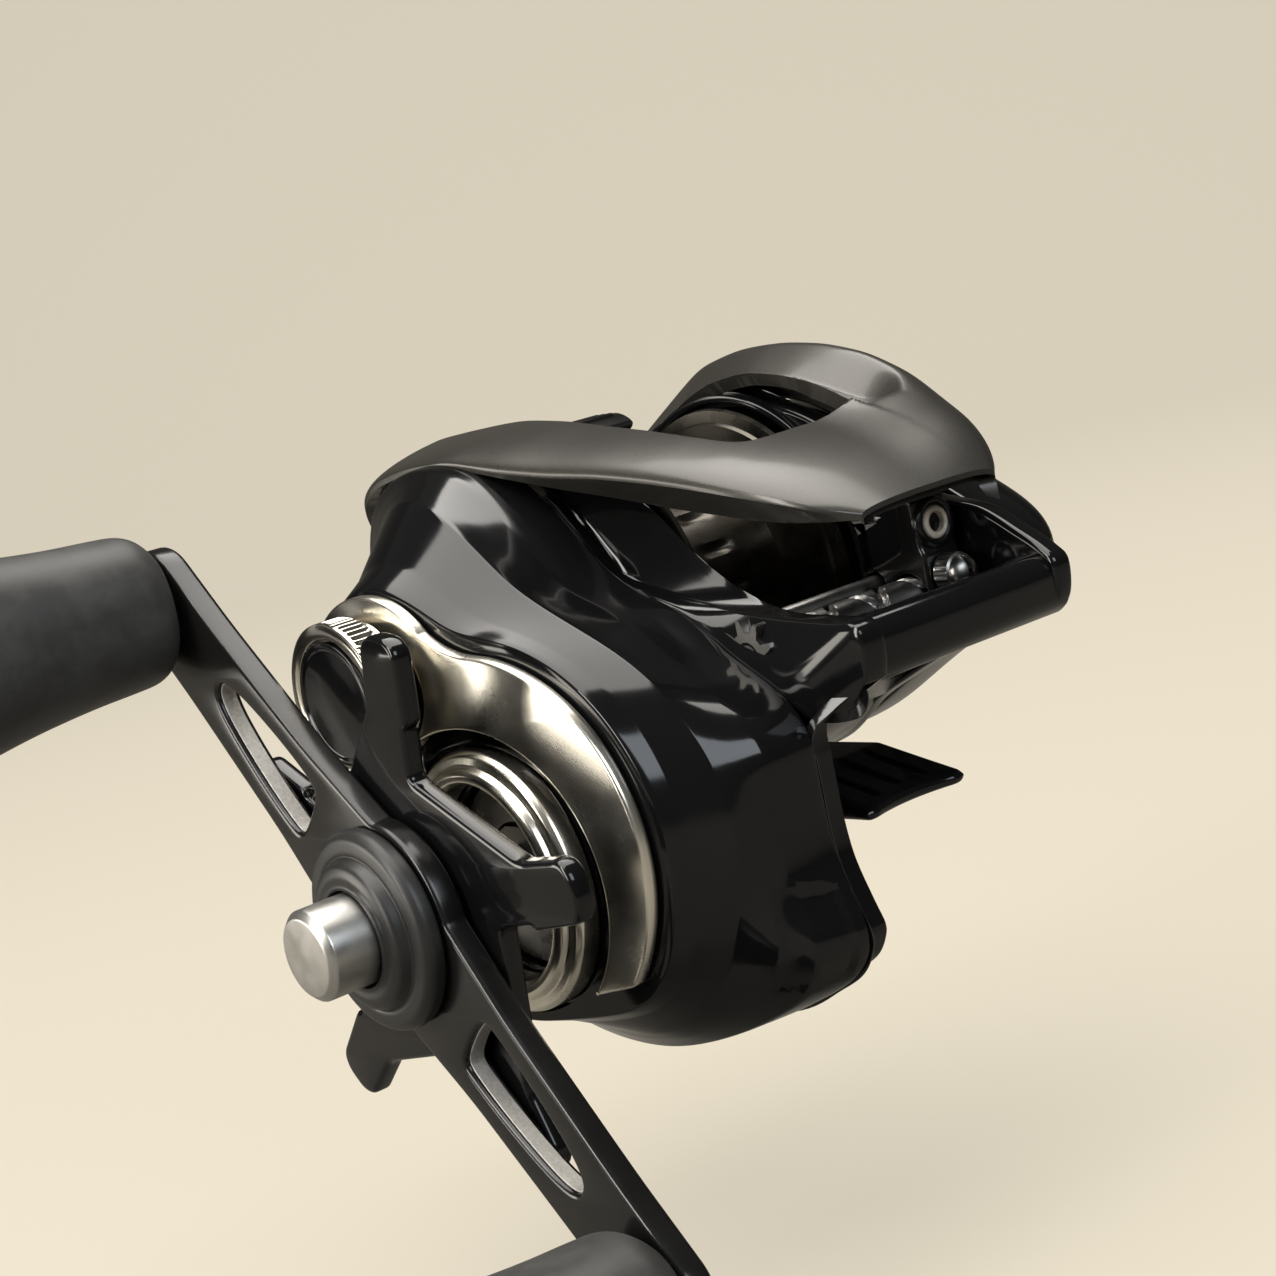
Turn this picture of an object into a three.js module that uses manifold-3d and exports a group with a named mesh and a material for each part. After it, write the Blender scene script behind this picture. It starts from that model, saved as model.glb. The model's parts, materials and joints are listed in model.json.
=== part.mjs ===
// Low-profile baitcasting fishing reel, right-hand retrieve, as an assembly of its separate pieces.
// Millimetres. +X runs out through the handle, +Y forward along the cast, +Z up.
// The origin is the middle of the foot's flat underside.

import * as THREE from 'three';
import { mergeVertices } from 'three/addons/utils/BufferGeometryUtils.js';
import Module from 'manifold-3d';

const wasm = await Module();
wasm.setup();

// ---------------------------------------------------------------- driving dimensions
const gap = 0.3;                    // clearance between pieces that touch or nest

const spoolAxisZ = 21.5;            // height of the spool axis above the foot's underside
const spoolRimRadius = 17;
const spoolWidth = 19;              // over both flanges
const flangeThickness = 0.9;
const spoolHubRadius = 9.5;
const spoolShaftRadius = 1.1;

const driveAxisY = 9;               // handle and main gear axis
const driveAxisZ = 2.5;
const driveTeeth = 71;
const pinionTeeth = 10;
const driveShaftRadius = 2.5;

const wormAxisY = 28.6;             // level wind worm shaft
const wormAxisZ = 18.2;
const wormRadius = 2.1;
const wormJournal = 1.2;
const windShaftTeeth = 18;          // level wind train: gear on the drive shaft, idler, worm gear
const idlerTeeth = 24;
const wormGearTeeth = 9;
const windGearWidth = 1.4;

const wallInner = 10.9;             // side walls of the frame, measured out from the middle
const wallThickness = 2.4;
const coverWall = 1.7;              // wall of the moulded covers
const coverHeadroom = 7.9;          // from the pinion's bearing to the gear cover's face, where Y is 0
const faceSlope = 0.14;             // the face falls back by this much X for each Y
const palmCoverDepth = 24;
const trimThickness = 1.3;
const trimLobe = 1.3;               // width of the trim round the casting cap
const trimInnerRadius = 14.8;
const trimOuterRadius = 18.6;

const collarRadius = 12.7;          // silver collar round the drive shaft
const collarHeight = 3.4;
const capRadius = 7.7;              // cast control cap
const capHeight = 3.9;              // the cap's rim over its seat
const knurlLength = 3.1;

const passingGap = 0.4;             // between the cap, star drag and handle, which turn past each other
const starThickness = 2.1;          // star drag
const starHubRadius = 8.6;
const starReach = 26.2;
const starArms = 5;
const starPhase = 8;                // degrees from +Y to one arm

const handleThickness = 2.6;        // handle
const handleAngle = 133;          // degrees from +Y to the upper arm
const handleLength = 42;            // drive axis to knob axis
const handleHubRadius = 9.6;
const handleArmWidth = 10.4;
const handleTipRadius = 5.2;
const slotStart = 13.5;
const slotEnd = 30.5;
const retainerRadius = 9.4;
const retainerHeight = 3.6;
const nutRadius = 4.25;
const nutStand = 8.8;               // the nut's face over the handle

const knobShaftRadius = 1.6;        // knobs
const knobLength = 31;
const knobNeckHalf = 7.6;           // half height next to the handle
const knobEndHalf = 10.2;           // half height of the paddle
const knobThickness = 15;

const footLength = 62;              // foot
const footWidth = 13;
const footRootHeight = 3.9;
const footTipHeight = 0.9;

const barFront = 42.5;              // front bar
const barBack = 38.6;
const barTop = 21.1;
const barBottom = 14.4;

const thumbPressTravel = 3.5;       // clutch bar, and the pinion it lifts off the spool
const pinionTravel = 2;
const thumbBarTop = 39.6;
const guideReach = 8.2;             // the line guide runs this far either side of the middle
const guideRest = 0.4 - guideReach; // as drawn it stands just short of one end of its run

// ---------------------------------------------------------------- solids from three.js geometry
const rad = THREE.MathUtils.degToRad;
const round = 26;                   // sides of a large round piece
const small = 14;                   // sides of a small round piece

// A closed geometry with its shared vertices merged, turned the right way out, as a solid.
function solidOf(source) {
  const bare = source.clone();
  bare.deleteAttribute('normal');
  bare.deleteAttribute('uv');
  const merged = mergeVertices(bare, 1e-4);
  const vertices = merged.attributes.position.array;
  const used = [];
  for (let i = 0; i < merged.index.count; i += 3) {
    const [a, b, c] = [0, 1, 2].map((k) => merged.index.getX(i + k));
    if (a !== b && b !== c && c !== a) used.push(a, b, c);
  }
  const corner = (k) => new THREE.Vector3().fromArray(vertices, 3 * k);
  let volume = 0;
  for (let i = 0; i < used.length; i += 3) {
    volume += corner(used[i]).dot(corner(used[i + 1]).cross(corner(used[i + 2])));
  }
  if (volume < 0) used.reverse();
  const shell = new wasm.Mesh({
    numProp: 3,
    vertProperties: Float32Array.from(vertices),
    triVerts: Uint32Array.from(used),
  });
  return new wasm.Manifold(shell);
}

function geometryOf(solid) {
  const shell = solid.getMesh();
  const geometry = new THREE.BufferGeometry();
  const vertices = Float32Array.from(shell.vertProperties);
  geometry.setAttribute('position', new THREE.BufferAttribute(vertices, 3));
  geometry.setIndex(new THREE.BufferAttribute(Uint32Array.from(shell.triVerts), 1));
  geometry.computeVertexNormals();
  return geometry;
}

const join = (...solids) => solids.reduce((whole, piece) => whole.add(piece));
const cut = (solid, ...tools) => tools.reduce((left, tool) => left.subtract(tool), solid);

// Local axes (x, y, z) laid onto the world: a lathe's Y or an extrusion's Z becomes world X.
const latheToX = new THREE.Matrix4().makeBasis(
  new THREE.Vector3(0, 0, 1), new THREE.Vector3(1, 0, 0), new THREE.Vector3(0, 1, 0));
const sideToX = new THREE.Matrix4().makeBasis(
  new THREE.Vector3(0, 1, 0), new THREE.Vector3(0, 0, 1), new THREE.Vector3(1, 0, 0));

// Profile of [x, radius] pairs turned about the line through (y, z) along X.
function turned(profile, [y, z], sides = round) {
  const closed = profile[0][1] === 0 ? profile : [...profile, profile[0]];
  const points = closed.map(([x, r]) => new THREE.Vector2(r, x));
  const lathe = new THREE.LatheGeometry(points, sides);
  return solidOf(lathe.applyMatrix4(latheToX).translate(0, y, z));
}

const disc = (x0, x1, radius, at, sides = round) =>
  turned([[x0, 0], [x0, radius], [x1, radius], [x1, 0]], at, sides);

const tube = (x0, x1, inner, outer, at, sides = round) =>
  turned([[x0, inner], [x0, outer], [x1, outer], [x1, inner]], at, sides);

function box([x0, x1], [y0, y1], [z0, z1]) {
  const block = new THREE.BoxGeometry(x1 - x0, y1 - y0, z1 - z0);
  return solidOf(block.translate((x0 + x1) / 2, (y0 + y1) / 2, (z0 + z1) / 2));
}

const shapeOf = (points) => new THREE.Shape(points.map(([a, b]) => new THREE.Vector2(a, b)));

// A side outline of [y, z] points, x0 to x1, with its edges broken by `ease`.
function sidePlate(points, x0, x1, ease = 0) {
  const extrusion = new THREE.ExtrudeGeometry(shapeOf(points), {
    depth: x1 - x0 - 2 * ease, bevelEnabled: ease > 0, bevelThickness: ease, bevelSize: ease,
    bevelOffset: -ease, bevelSegments: 1, curveSegments: 8, steps: 1,
  });
  return solidOf(extrusion.translate(0, 0, x0 + ease).applyMatrix4(sideToX));
}

// A plan outline of [x, y] points, z0 to z1.
function planPlate(points, z0, z1) {
  const extrusion = new THREE.ExtrudeGeometry(shapeOf(points), { depth: z1 - z0, bevelEnabled: false });
  return solidOf(extrusion.translate(0, 0, z0));
}

// Points on an arc about (y, z), from one angle to another in degrees.
function arc([y, z], radius, from, to, count) {
  return Array.from({ length: count + 1 }, (_, i) => {
    const angle = rad(from + (to - from) * i / count);
    return [y + radius * Math.cos(angle), z + radius * Math.sin(angle)];
  });
}

// A closed smooth outline through a few points.
function smooth(points, count) {
  const curve = new THREE.CatmullRomCurve3(
    points.map(([a, b]) => new THREE.Vector3(a, b, 0)), true, 'centripetal');
  return curve.getPoints(count).slice(0, count).map((p) => [p.x, p.y]);
}

// A clockwise outline drawn in by `by` along each corner's mean normal.
function inward(points, by) {
  return points.map(([y, z], i) => {
    const [py, pz] = points[(i + points.length - 1) % points.length];
    const [ny, nz] = points[(i + 1) % points.length];
    const length = Math.hypot(ny - py, nz - pz);
    return [y + by * (nz - pz) / length, z - by * (ny - py) / length];
  });
}

// Rings of equal point count joined in order, with a fan closing each end.
function lofted(rings) {
  const count = rings[0].length;
  const vertices = rings.flat(2);
  const faces = [];
  for (let r = 0; r + 1 < rings.length; r += 1) {
    for (let i = 0; i < count; i += 1) {
      const j = (i + 1) % count;
      const [a, b, c, d] = [r * count + i, r * count + j, (r + 1) * count + j, (r + 1) * count + i];
      faces.push(a, b, c, a, c, d);
    }
  }
  for (const [start, flip] of [[0, true], [(rings.length - 1) * count, false]]) {
    const ring = rings[start / count];
    const middle = [0, 1, 2].map((k) => ring.reduce((sum, p) => sum + p[k], 0) / count);
    const hub = vertices.length / 3;
    vertices.push(...middle);
    for (let i = 0; i < count; i += 1) {
      const j = (i + 1) % count;
      faces.push(hub, ...(flip ? [start + j, start + i] : [start + i, start + j]));
    }
  }
  const geometry = new THREE.BufferGeometry();
  geometry.setAttribute('position', new THREE.BufferAttribute(Float32Array.from(vertices), 3));
  geometry.setIndex(faces);
  return solidOf(geometry);
}

// Distance from a centre to a smooth outline, at equal steps of angle.
function reachOf(points, [cy, cz], count) {
  const samples = smooth(points, 720)
    .map(([y, z]) => [Math.atan2(z - cz, y - cy), Math.hypot(y - cy, z - cz)])
    .sort((a, b) => a[0] - b[0]);
  return Array.from({ length: count }, (_, i) => {
    const angle = -Math.PI + 2 * Math.PI * (i + 0.5) / count;
    const near = samples.filter(([at]) => Math.abs(at - angle) < Math.PI / count);
    return near.reduce((sum, [, r]) => sum + r, 0) / near.length;
  });
}

// The third number of an outline's points, at the same steps of angle.
function heightOf(points, [cy, cz], count) {
  const known = points
    .map(([y, z, height]) => [Math.atan2(z - cz, y - cy), height])
    .sort((a, b) => a[0] - b[0]);
  const [first, last] = [known[0], known[known.length - 1]];
  const round = [[last[0] - 2 * Math.PI, last[1]], ...known, [first[0] + 2 * Math.PI, first[1]]];
  return Array.from({ length: count }, (_, i) => {
    const angle = -Math.PI + 2 * Math.PI * (i + 0.5) / count;
    const k = round.findIndex(([at]) => at > angle);
    const [[a0, h0], [a1, h1]] = [round[k - 1], round[k]];
    return h0 + (h1 - h0) * (angle - a0) / (a1 - a0);
  });
}

// One ring of a cover with an x of its own at each angle.
function spacedRing(reach, centre, xs, inset) {
  return coverRing(reach, centre, 0, inset).map(([, y, z], i) => [xs[i], y, z]);
}

// One ring of a cover: its reach at each angle, drawn in by `inset`, on a face that slopes with Y.
function coverRing(reach, [cy, cz], x, inset = 0, slope = 0) {
  return reach.map((r, i) => {
    const angle = -Math.PI + 2 * Math.PI * (i + 0.5) / reach.length;
    const y = cy + (r - inset) * Math.cos(angle);
    return [x - slope * y, y, cz + (r - inset) * Math.sin(angle)];
  });
}

// Spur gear outline: teeth thinner than half the pitch, so that a pair runs with backlash.
function gearOutline(teeth, module, phase, [y, z]) {
  const pitch = module * teeth / 2;
  const step = 360 / teeth;
  const flanks = [[-0.3, -1.05], [-0.17, 0], [-0.08, 0.7], [0.08, 0.7], [0.17, 0], [0.3, -1.05]];
  const used = teeth > 16 ? flanks.filter(([, height]) => height !== 0) : flanks;
  const points = [];
  for (let tooth = 0; tooth < teeth; tooth += 1) {
    for (const [turn, height] of used) {
      const angle = rad(phase + step * (tooth + turn));
      const radius = pitch + module * height;
      points.push([y + radius * Math.cos(angle), z + radius * Math.sin(angle)]);
    }
  }
  return points;
}

// ---------------------------------------------------------------- the assembly
const reel = new THREE.Group();

const finishes = {
  glossBlack: [0x0b0b0e, 0.12, 0.0],
  satinGrey: [0x3a3836, 0.38, 0.6],
  satinBlack: [0x121214, 0.32, 0.3],
  silver: [0xcfc8b4, 0.16, 1.0],
  brushed: [0xb9bab8, 0.3, 1.0],
  aluminium: [0x9c9a94, 0.3, 1.0],
  brass: [0xb08d4a, 0.3, 1.0],
  steel: [0x9a9a9a, 0.25, 1.0],
  rubber: [0x35342f, 0.6, 0.0],
  ceramic: [0xe4dccb, 0.2, 0.0],
  felt: [0x4a4038, 0.9, 0.0],
};

function add(name, solid, finish) {
  const [color, roughness, metalness] = finishes[finish];
  const material = new THREE.MeshStandardMaterial({ color, roughness, metalness });
  const mesh = new THREE.Mesh(geometryOf(solid), material);
  mesh.name = name;
  reel.add(mesh);
}

const spoolAxis = [0, spoolAxisZ];
const driveAxis = [driveAxisY, driveAxisZ];
const wormAxis = [wormAxisY, wormAxisZ];
const wallOuter = wallInner + wallThickness;

// Mesh of the main gear and the pinion.
const centreDistance = Math.hypot(driveAxisY, spoolAxisZ - driveAxisZ);
const driveModule = 2 * centreDistance / (driveTeeth + pinionTeeth);
const driveToSpool = THREE.MathUtils.radToDeg(Math.atan2(spoolAxisZ - driveAxisZ, -driveAxisY));

// The level wind train runs in a straight line from the drive axis to the worm axis.
const trainLength = Math.hypot(wormAxisY - driveAxisY, wormAxisZ - driveAxisZ);
const trainAngle = THREE.MathUtils.radToDeg(Math.atan2(wormAxisZ - driveAxisZ, wormAxisY - driveAxisY));
const trainModule = trainLength / (windShaftTeeth / 2 + idlerTeeth + wormGearTeeth / 2);
const idlerDistance = trainModule * (windShaftTeeth + idlerTeeth) / 2;
const idlerAxis = [
  driveAxisY + idlerDistance * Math.cos(rad(trainAngle)),
  driveAxisZ + idlerDistance * Math.sin(rad(trainAngle)),
];

// ---- where things lie along X
const windGearX = wallOuter + 0.5;
const driveGearX = windGearX + windGearWidth + 1.8;
const trayOuter = windGearX + windGearWidth + 0.4;
const driveGearWidth = 3;
const pinionX = driveGearX - pinionTravel - 1;
const pinionToothEnd = driveGearX + driveGearWidth + 0.6;
const yokeX = pinionToothEnd + 1.3;
const yokeThickness = 0.9;
const idlerPin = 1.5;
const yokeFlange = 1.2;
const pinionBearingX = yokeX + yokeThickness + yokeFlange + pinionTravel + 1;
const pinionBearingWidth = 2;
const gearCoverDepth = pinionBearingX + coverHeadroom;
const trimBack = gearCoverDepth + gap;
const capBack = trimBack + trimThickness + 0.7;
const capFace = capBack + capHeight;
const starInner = capFace + passingGap;
const starOuter = starInner + starThickness;
const handleInner = starOuter + passingGap;
const handleOuter = handleInner + handleThickness;
const nutFace = handleOuter + nutStand;

// ================================================================ top cover
const fromSpool = (dy, dz) => [dy, spoolAxisZ + dz];
const fromDrive = (dy, dz) => [driveAxisY + dy, driveAxisZ + dz];

const trimCentre = fromDrive(2, 3);  // the trim's outer edge sweeps round this point

// The cover is an arch carried forward. Each station has its place y, how far the two sides stand
// out from the frame's walls, the height of their lower edges and of the crown above the spool
// axis, how much the palm side swells over that crown, and how far the sides tuck in beneath.
const archStations = [
  { y: -24.4, right: 4.8, left: 0.4, rightZ: 13.0, leftZ: 5.0, crown: 18.0, swell: -8.0, tuck: 0 },
  { y: -22.6, right: 6.7, left: 1.8, rightZ: 15.0, leftZ: 6.6, crown: 20.0, swell: -8.6, tuck: 0 },
  { y: -18.5, right: 6.9, left: 2.8, rightZ: 17.3, leftZ: 9.8, crown: 20.5, swell: -6.6, tuck: 0 },
  { y: -12.0, right: 6.9, left: 3.6, rightZ: 18.3, leftZ: 13.5, crown: 20.7, swell: -3.1, tuck: 0 },
  { y: -5.0, right: 6.7, left: 3.9, rightZ: 18.4, leftZ: 16.0, crown: 20.6, swell: 2.7, tuck: 0 },
  { y: 2.0, right: 5.9, left: 4.0, rightZ: 16.7, leftZ: 16.9, crown: 19.9, swell: 5.6, tuck: 0 },
  { y: 8.0, right: 4.7, left: 4.0, rightZ: 15.5, leftZ: 16.5, crown: 18.9, swell: 7.0, tuck: 0.3 },
  { y: 14.0, right: 3.5, left: 3.7, rightZ: 14.7, leftZ: 15.5, crown: 18.0, swell: 7.3, tuck: 0.7 },
  { y: 20.0, right: 2.5, left: 3.2, rightZ: 13.6, leftZ: 13.9, crown: 16.9, swell: 6.9, tuck: 1 },
  { y: 26.0, right: 1.6, left: 2.2, rightZ: 12.3, leftZ: 12.3, crown: 15.4, swell: 5.3, tuck: 1 },
  { y: 31.0, right: 0.7, left: 0.8, rightZ: 11.0, leftZ: 10.7, crown: 13.9, swell: 2.8, tuck: 0.9 },
  { y: 35.0, right: -0.5, left: -0.7, rightZ: 9.8, leftZ: 9.4, crown: 12.2, swell: 2.2, tuck: 0.6 },
  { y: 38.4, right: -2.1, left: -2.7, rightZ: 8.5, leftZ: 8.2, crown: 9.9, swell: 0.8, tuck: 0.2 },
  { y: 40.2, right: -4.7, left: -5.1, rightZ: 7.6, leftZ: 7.4, crown: 8.4, swell: 0, tuck: 0 },
];
const archSteps = 16;
const gearPower = 2.4;              // above 2 a side has a fuller shoulder than an ellipse
const palmPower = 3;
const tuckDepth = 2.6;
const edgeDepth = 0.4;

// One arch: drawn in by `shrink` all round, with its open bottom carried down by `drop`.
function archRing(station, shrink, drop) {
  const right = wallOuter + station.right - shrink;
  const left = -wallOuter - station.left + shrink;
  const foot = tuckDepth * station.tuck;
  const arch = Array.from({ length: archSteps + 1 }, (_, i) => {
    const along = Math.PI * i / archSteps;
    const power = 2 * i > archSteps ? palmPower : gearPower;
    const across = Math.sign(Math.cos(along)) * Math.abs(Math.cos(along)) ** (2 / power);
    const height = Math.max(Math.sin(along), 0) ** (2 / power);
    const base = spoolAxisZ + THREE.MathUtils.lerp(station.rightZ, station.leftZ, i / archSteps);
    const crown = spoolAxisZ + station.crown + station.swell * Math.max(-across, 0) ** 1.5;
    const rise = Math.max(crown - shrink - base, 0.25);
    return [(right + left) / 2 + (right - left) / 2 * across, station.y, base + rise * height];
  });
  const bottom = (z) => spoolAxisZ + z - edgeDepth - foot - drop;
  return [
    [right - foot, station.y, bottom(station.rightZ)], ...arch,
    [left + foot, station.y, bottom(station.leftZ)],
  ];
}

function archSolid(shrink, drop, endInset) {
  const last = archStations.length - 1;
  return lofted(archStations.map((station, i) => {
    const moved = i === 0 ? endInset : (i === last ? -endInset : 0);
    return archRing({ ...station, y: station.y + moved }, shrink, drop);
  }));
}

// On the palm side the cover dips to the window in a flank: at each y, its foot's height above the
// spool axis and how far it climbs towards the palm. The wall under the flank is solid.
const flankFoot = -9.9;
const flankWidth = 4.1;
const flankStations = [
  [-30, 1, 4.4], [-24.4, 6, 4.4], [-18, 10.3, 4.3], [-12, 13.7, 4.1], [-8.1, 15.8, 4.0],
  [-4.3, 17.9, 3.7], [0.5, 19.5, 2.9], [6.7, 20.1, 2.4], [12.7, 19.2, 2.7], [17.8, 17.7, 3.2],
  [23.3, 15.3, 3.7], [28, 13.6, 3.6],
];
const flankRing = (shape) => lofted(flankStations.map(([y, foot, climb]) => (
  shape(foot + spoolAxisZ, climb / flankWidth).map(([x, z]) => [x, y, z])).reverse()));
const flankCut = flankRing((foot, slope) => [
  [flankFoot + 4, foot], [flankFoot, foot], [flankFoot - 9, foot + 9 * slope],
  [flankFoot - 9, foot + 12], [flankFoot + 4, foot + 12],
]);
const flankBlock = (grow) => flankRing((foot) => [
  [flankFoot + grow, foot - coverWall - grow], [flankFoot - 12, foot - coverWall - grow],
  [flankFoot - 12, foot + 14], [flankFoot + grow, foot + 14],
]);
const archHollow = (shrink, grow) => cut(archSolid(shrink, 6, shrink), flankBlock(grow));

const windowHalf = 8.6;             // thumb window over the spool
const windowFront = 26.5;
const windowRear = -12.6;
const windowOutline = smooth([
  [windowHalf, windowRear], [windowHalf + 0.9, 0], [windowHalf + 0.8, windowFront - 9],
  [windowHalf - 0.2, windowFront - 1.9], [windowHalf - 2.2, windowFront], [2.2 - windowHalf, windowFront],
  [0.8 - windowHalf, windowFront - 1.4], [flankFoot, windowFront - 9], [flankFoot, 0],
  [-windowHalf, windowRear],
], 44);
const thumbGapHalf = 10.9;
const topCover = cut(
  archSolid(0, 0, 0),
  archHollow(coverWall, 0),
  flankCut,
  planPlate(windowOutline, spoolAxisZ, spoolAxisZ + 40),
  box([-thumbGapHalf, thumbGapHalf], [-40, windowRear + 3], [spoolAxisZ, spoolAxisZ + 40]),
);
const topCoverKeepOut = archSolid(-gap, gap, -gap);
const topCoverRoom = cut(topCoverKeepOut, archHollow(coverWall + gap, gap));
add('top_cover', topCover, 'satinGrey');

// ================================================================ gear side cover
const screwPlaces = [fromDrive(-19, -10.5), fromDrive(19, -12.2), fromSpool(-14.5, 10.5)];
const screwShank = 1.1;
const screwHead = 1.1;
const screwHeadRadius = 1.9;
const gearCoverCentre = [7, 7];
const rimFront = [
  [36.2, 11.4], [35.8, 8.7], [35.7, 6], [35.6, 3.3], [35.9, -0.5], [37.1, -4.2], [38, -6.7], [37.6, -8.6],
  [35.7, -10.9], [32.1, -12.8], [25.6, -15.4],
];
const rimBottom = [
  fromDrive(7, -20.7), fromDrive(0.5, -21.6), fromDrive(-8, -21), fromDrive(-17, -18.3),
  fromDrive(-25, -12), fromDrive(-29.5, -2.5), fromSpool(-22.4, -9), fromSpool(-22.6, 2),
];
const gearRim = [
  fromSpool(-21.5, 9.5), fromSpool(-20.4, 12.5), fromSpool(-17, 17.1), fromSpool(-10, 18.9),
  fromSpool(-4.5, 18.5), fromSpool(0, 16.8), fromSpool(4.1, 13.8), fromSpool(8, 10.1),
  fromSpool(11.4, 6.2),
  fromSpool(15.5, 3.9), fromSpool(21.2, 1.9), fromSpool(24.4, -0.4), fromSpool(27, -2.6),
  fromSpool(30.6, -4.6), fromSpool(34, -6.8), ...rimFront, ...rimBottom,
];
// The ridge is an outline in space. Its third number says how far it lies behind the face.
const gearRidge = [
  [-13, 31.6, 9.4], [-10.4, 35.4, 9.2], [-6, 37.6, 8.8], [-1, 37.6, 8.3], [4, 35.5, 7.5],
  [8.5, 32.3, 7.2], [12.5, 28.9, 7.2], [16.5, 26.5, 7.5], [21, 24.1, 7.9], [26, 21.4, 8.3],
  [29.6, 18.2, 8.7], [31.9, 15, 9], [33.4, 12.2, 9.1], [34.2, 9, 9.2], [34.5, 6, 9.2], [34.3, 2.6, 9.2],
  [33.2, -1.2, 9.1], [31.2, -5.4, 9], [28.4, -9.2, 8.8], [23.8, -12.8, 8.6], [17, -15, 8.2],
  [9.5, -13.8, 7.2], [3, -11.9, 7], [-2.5, -8.7, 7.5], [-7, -3.5, 8.2], [-10, 3.5, 8.8],
  [-12, 11, 9.2], [-13.4, 19, 9.4], [-13.9, 26, 9.4],
];
const faceLobe = capRadius + trimLobe + 0.5;
const faceRing = 14.1;              // radius of the face round the collar
const faceSweep = trimOuterRadius + 1.4;
const gearFace = [
  ...arc(spoolAxis, faceLobe, 180, 80, 5), fromSpool(6, 7.2), fromSpool(9, 5), fromSpool(12.2, 3.9),
  ...arc(trimCentre, faceSweep, 75, -42, 9), fromDrive(13.5, -12.3), fromDrive(9, -13.1),
  ...arc(driveAxis, faceRing, -75, -180, 6), fromDrive(-15.6, 6.5), fromDrive(-17.6, 12.5),
];
const coverPoints = 48;
const rimReach = reachOf(gearRim, gearCoverCentre, coverPoints);
const ridgeReach = reachOf(gearRidge, gearCoverCentre, coverPoints);
const faceReach = reachOf(gearFace, gearCoverCentre, coverPoints);
const ridgeBack = heightOf(gearRidge, gearCoverCentre, coverPoints);
const coverBack = trayOuter + gap;
const bellyDepth = 13.2;            // the cover keeps its width from the rim to this far behind the face
const blend = (a, b, t) => a.map((value, i) => value + (b[i] - value) * t);

function gearCoverSolid(inset, back, drop) {
  const face = gearCoverDepth - drop;
  const belly = rimReach.map(() => face - bellyDepth);
  const ridge = ridgeBack.map((behind) => face - behind);
  const edge = coverRing(faceReach, gearCoverCentre, face, inset, faceSlope);
  const front = edge.map(([x]) => x);
  return lofted([
    coverRing(rimReach, gearCoverCentre, back, inset),
    spacedRing(blend(rimReach, ridgeReach, 0.1), gearCoverCentre, belly, inset),
    spacedRing(blend(rimReach, ridgeReach, 0.6), gearCoverCentre, blend(belly, ridge, 0.6), inset),
    spacedRing(ridgeReach, gearCoverCentre, ridge, inset),
    spacedRing(blend(ridgeReach, faceReach, 0.72), gearCoverCentre, blend(ridge, front, 0.62), inset),
    edge,
  ]);
}

// The face falls away with Y, so each axis meets it at its own X.
const faceAt = (y) => gearCoverDepth - faceSlope * y;
const driveFace = faceAt(driveAxisY);
const collarSeat = driveFace - 1.5;
const pocketRadius = collarRadius + gap;
const screwBoss = 2.4;
const screwDepth = 5;
const clutchBore = 9.2;             // the tube that holds the roller clutch
const clutchTubeWall = 1.8;
const clutchTubeBack = gearCoverDepth - 11.9;
const bossRadius = 5.8;             // threaded boss under the casting cap
const bossBack = pinionBearingX - 0.4;
const bossFace = capFace - 1.9;
const bossBore = 3.2;
const pinionBearingRadius = 4.6;
const gearCover = cut(
  join(
    cut(
      gearCoverSolid(0, coverBack, 0),
      gearCoverSolid(coverWall, coverBack - 1, coverWall),
      topCoverKeepOut,
      disc(collarSeat, 60, pocketRadius, driveAxis, 36),
    ),
    disc(clutchTubeBack, collarSeat, clutchBore + clutchTubeWall, driveAxis),
    disc(bossBack, bossFace, bossRadius, spoolAxis, small),
    ...screwPlaces.map((place) => (
      disc(coverBack, gearCoverDepth - 0.9, screwBoss, place, 12)
        .intersect(gearCoverSolid(0.4, coverBack, 0.4)))),
  ),
  ...screwPlaces.map((place) => disc(10, coverBack + screwDepth, screwShank + gap, place, 12)),
  disc(10, 60, clutchBore, driveAxis),
  disc(10, 60, bossBore, spoolAxis, small),
  disc(10, pinionBearingX + pinionBearingWidth + gap, pinionBearingRadius + gap, spoolAxis, small),
);
add('gear_side_cover', gearCover, 'glossBlack');

// Silver trim over the cover's face, lobed round the casting cap.
const shear = new THREE.Matrix4().set(1, -faceSlope, 0, 0, 0, 1, 0, 0, 0, 0, 1, 0, 0, 0, 0, 1);
function slopedPlate(points, x0, x1) {
  const extrusion = new THREE.ExtrudeGeometry(shapeOf(points), { depth: x1 - x0, bevelEnabled: false });
  return solidOf(extrusion.translate(0, 0, x0).applyMatrix4(sideToX).applyMatrix4(shear));
}
const trimOutline = [
  ...arc(trimCentre, trimOuterRadius, -42, 78, 18), fromSpool(12, 2.6), fromSpool(9.6, 3.5),
  ...arc(spoolAxis, capRadius + trimLobe, 32, 215, 12),
  ...arc(driveAxis, trimInnerRadius, 138, -45, 20),
];
const trim = cut(
  slopedPlate(trimOutline, trimBack, trimBack + trimThickness),
  disc(20, 60, bossRadius + gap, spoolAxis),
  disc(capBack - gap, 60, capRadius + gap, spoolAxis),
);
add('side_trim_plate', trim, 'silver');

const collarBack = collarSeat + gap;
const collarFace = collarBack + collarHeight;
add('drive_collar', turned([
  [collarBack, collarRadius - 3.2], [collarBack, collarRadius], [collarFace - 1.5, collarRadius],
  [collarFace - 1.0, collarRadius - 0.5], [collarFace - 1.0, collarRadius - 1.5],
  [collarFace - 0.3, collarRadius - 1.8], [collarFace, collarRadius - 2.2],
  [collarFace, collarRadius - 3.2],
], driveAxis, 28), 'silver');

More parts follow.
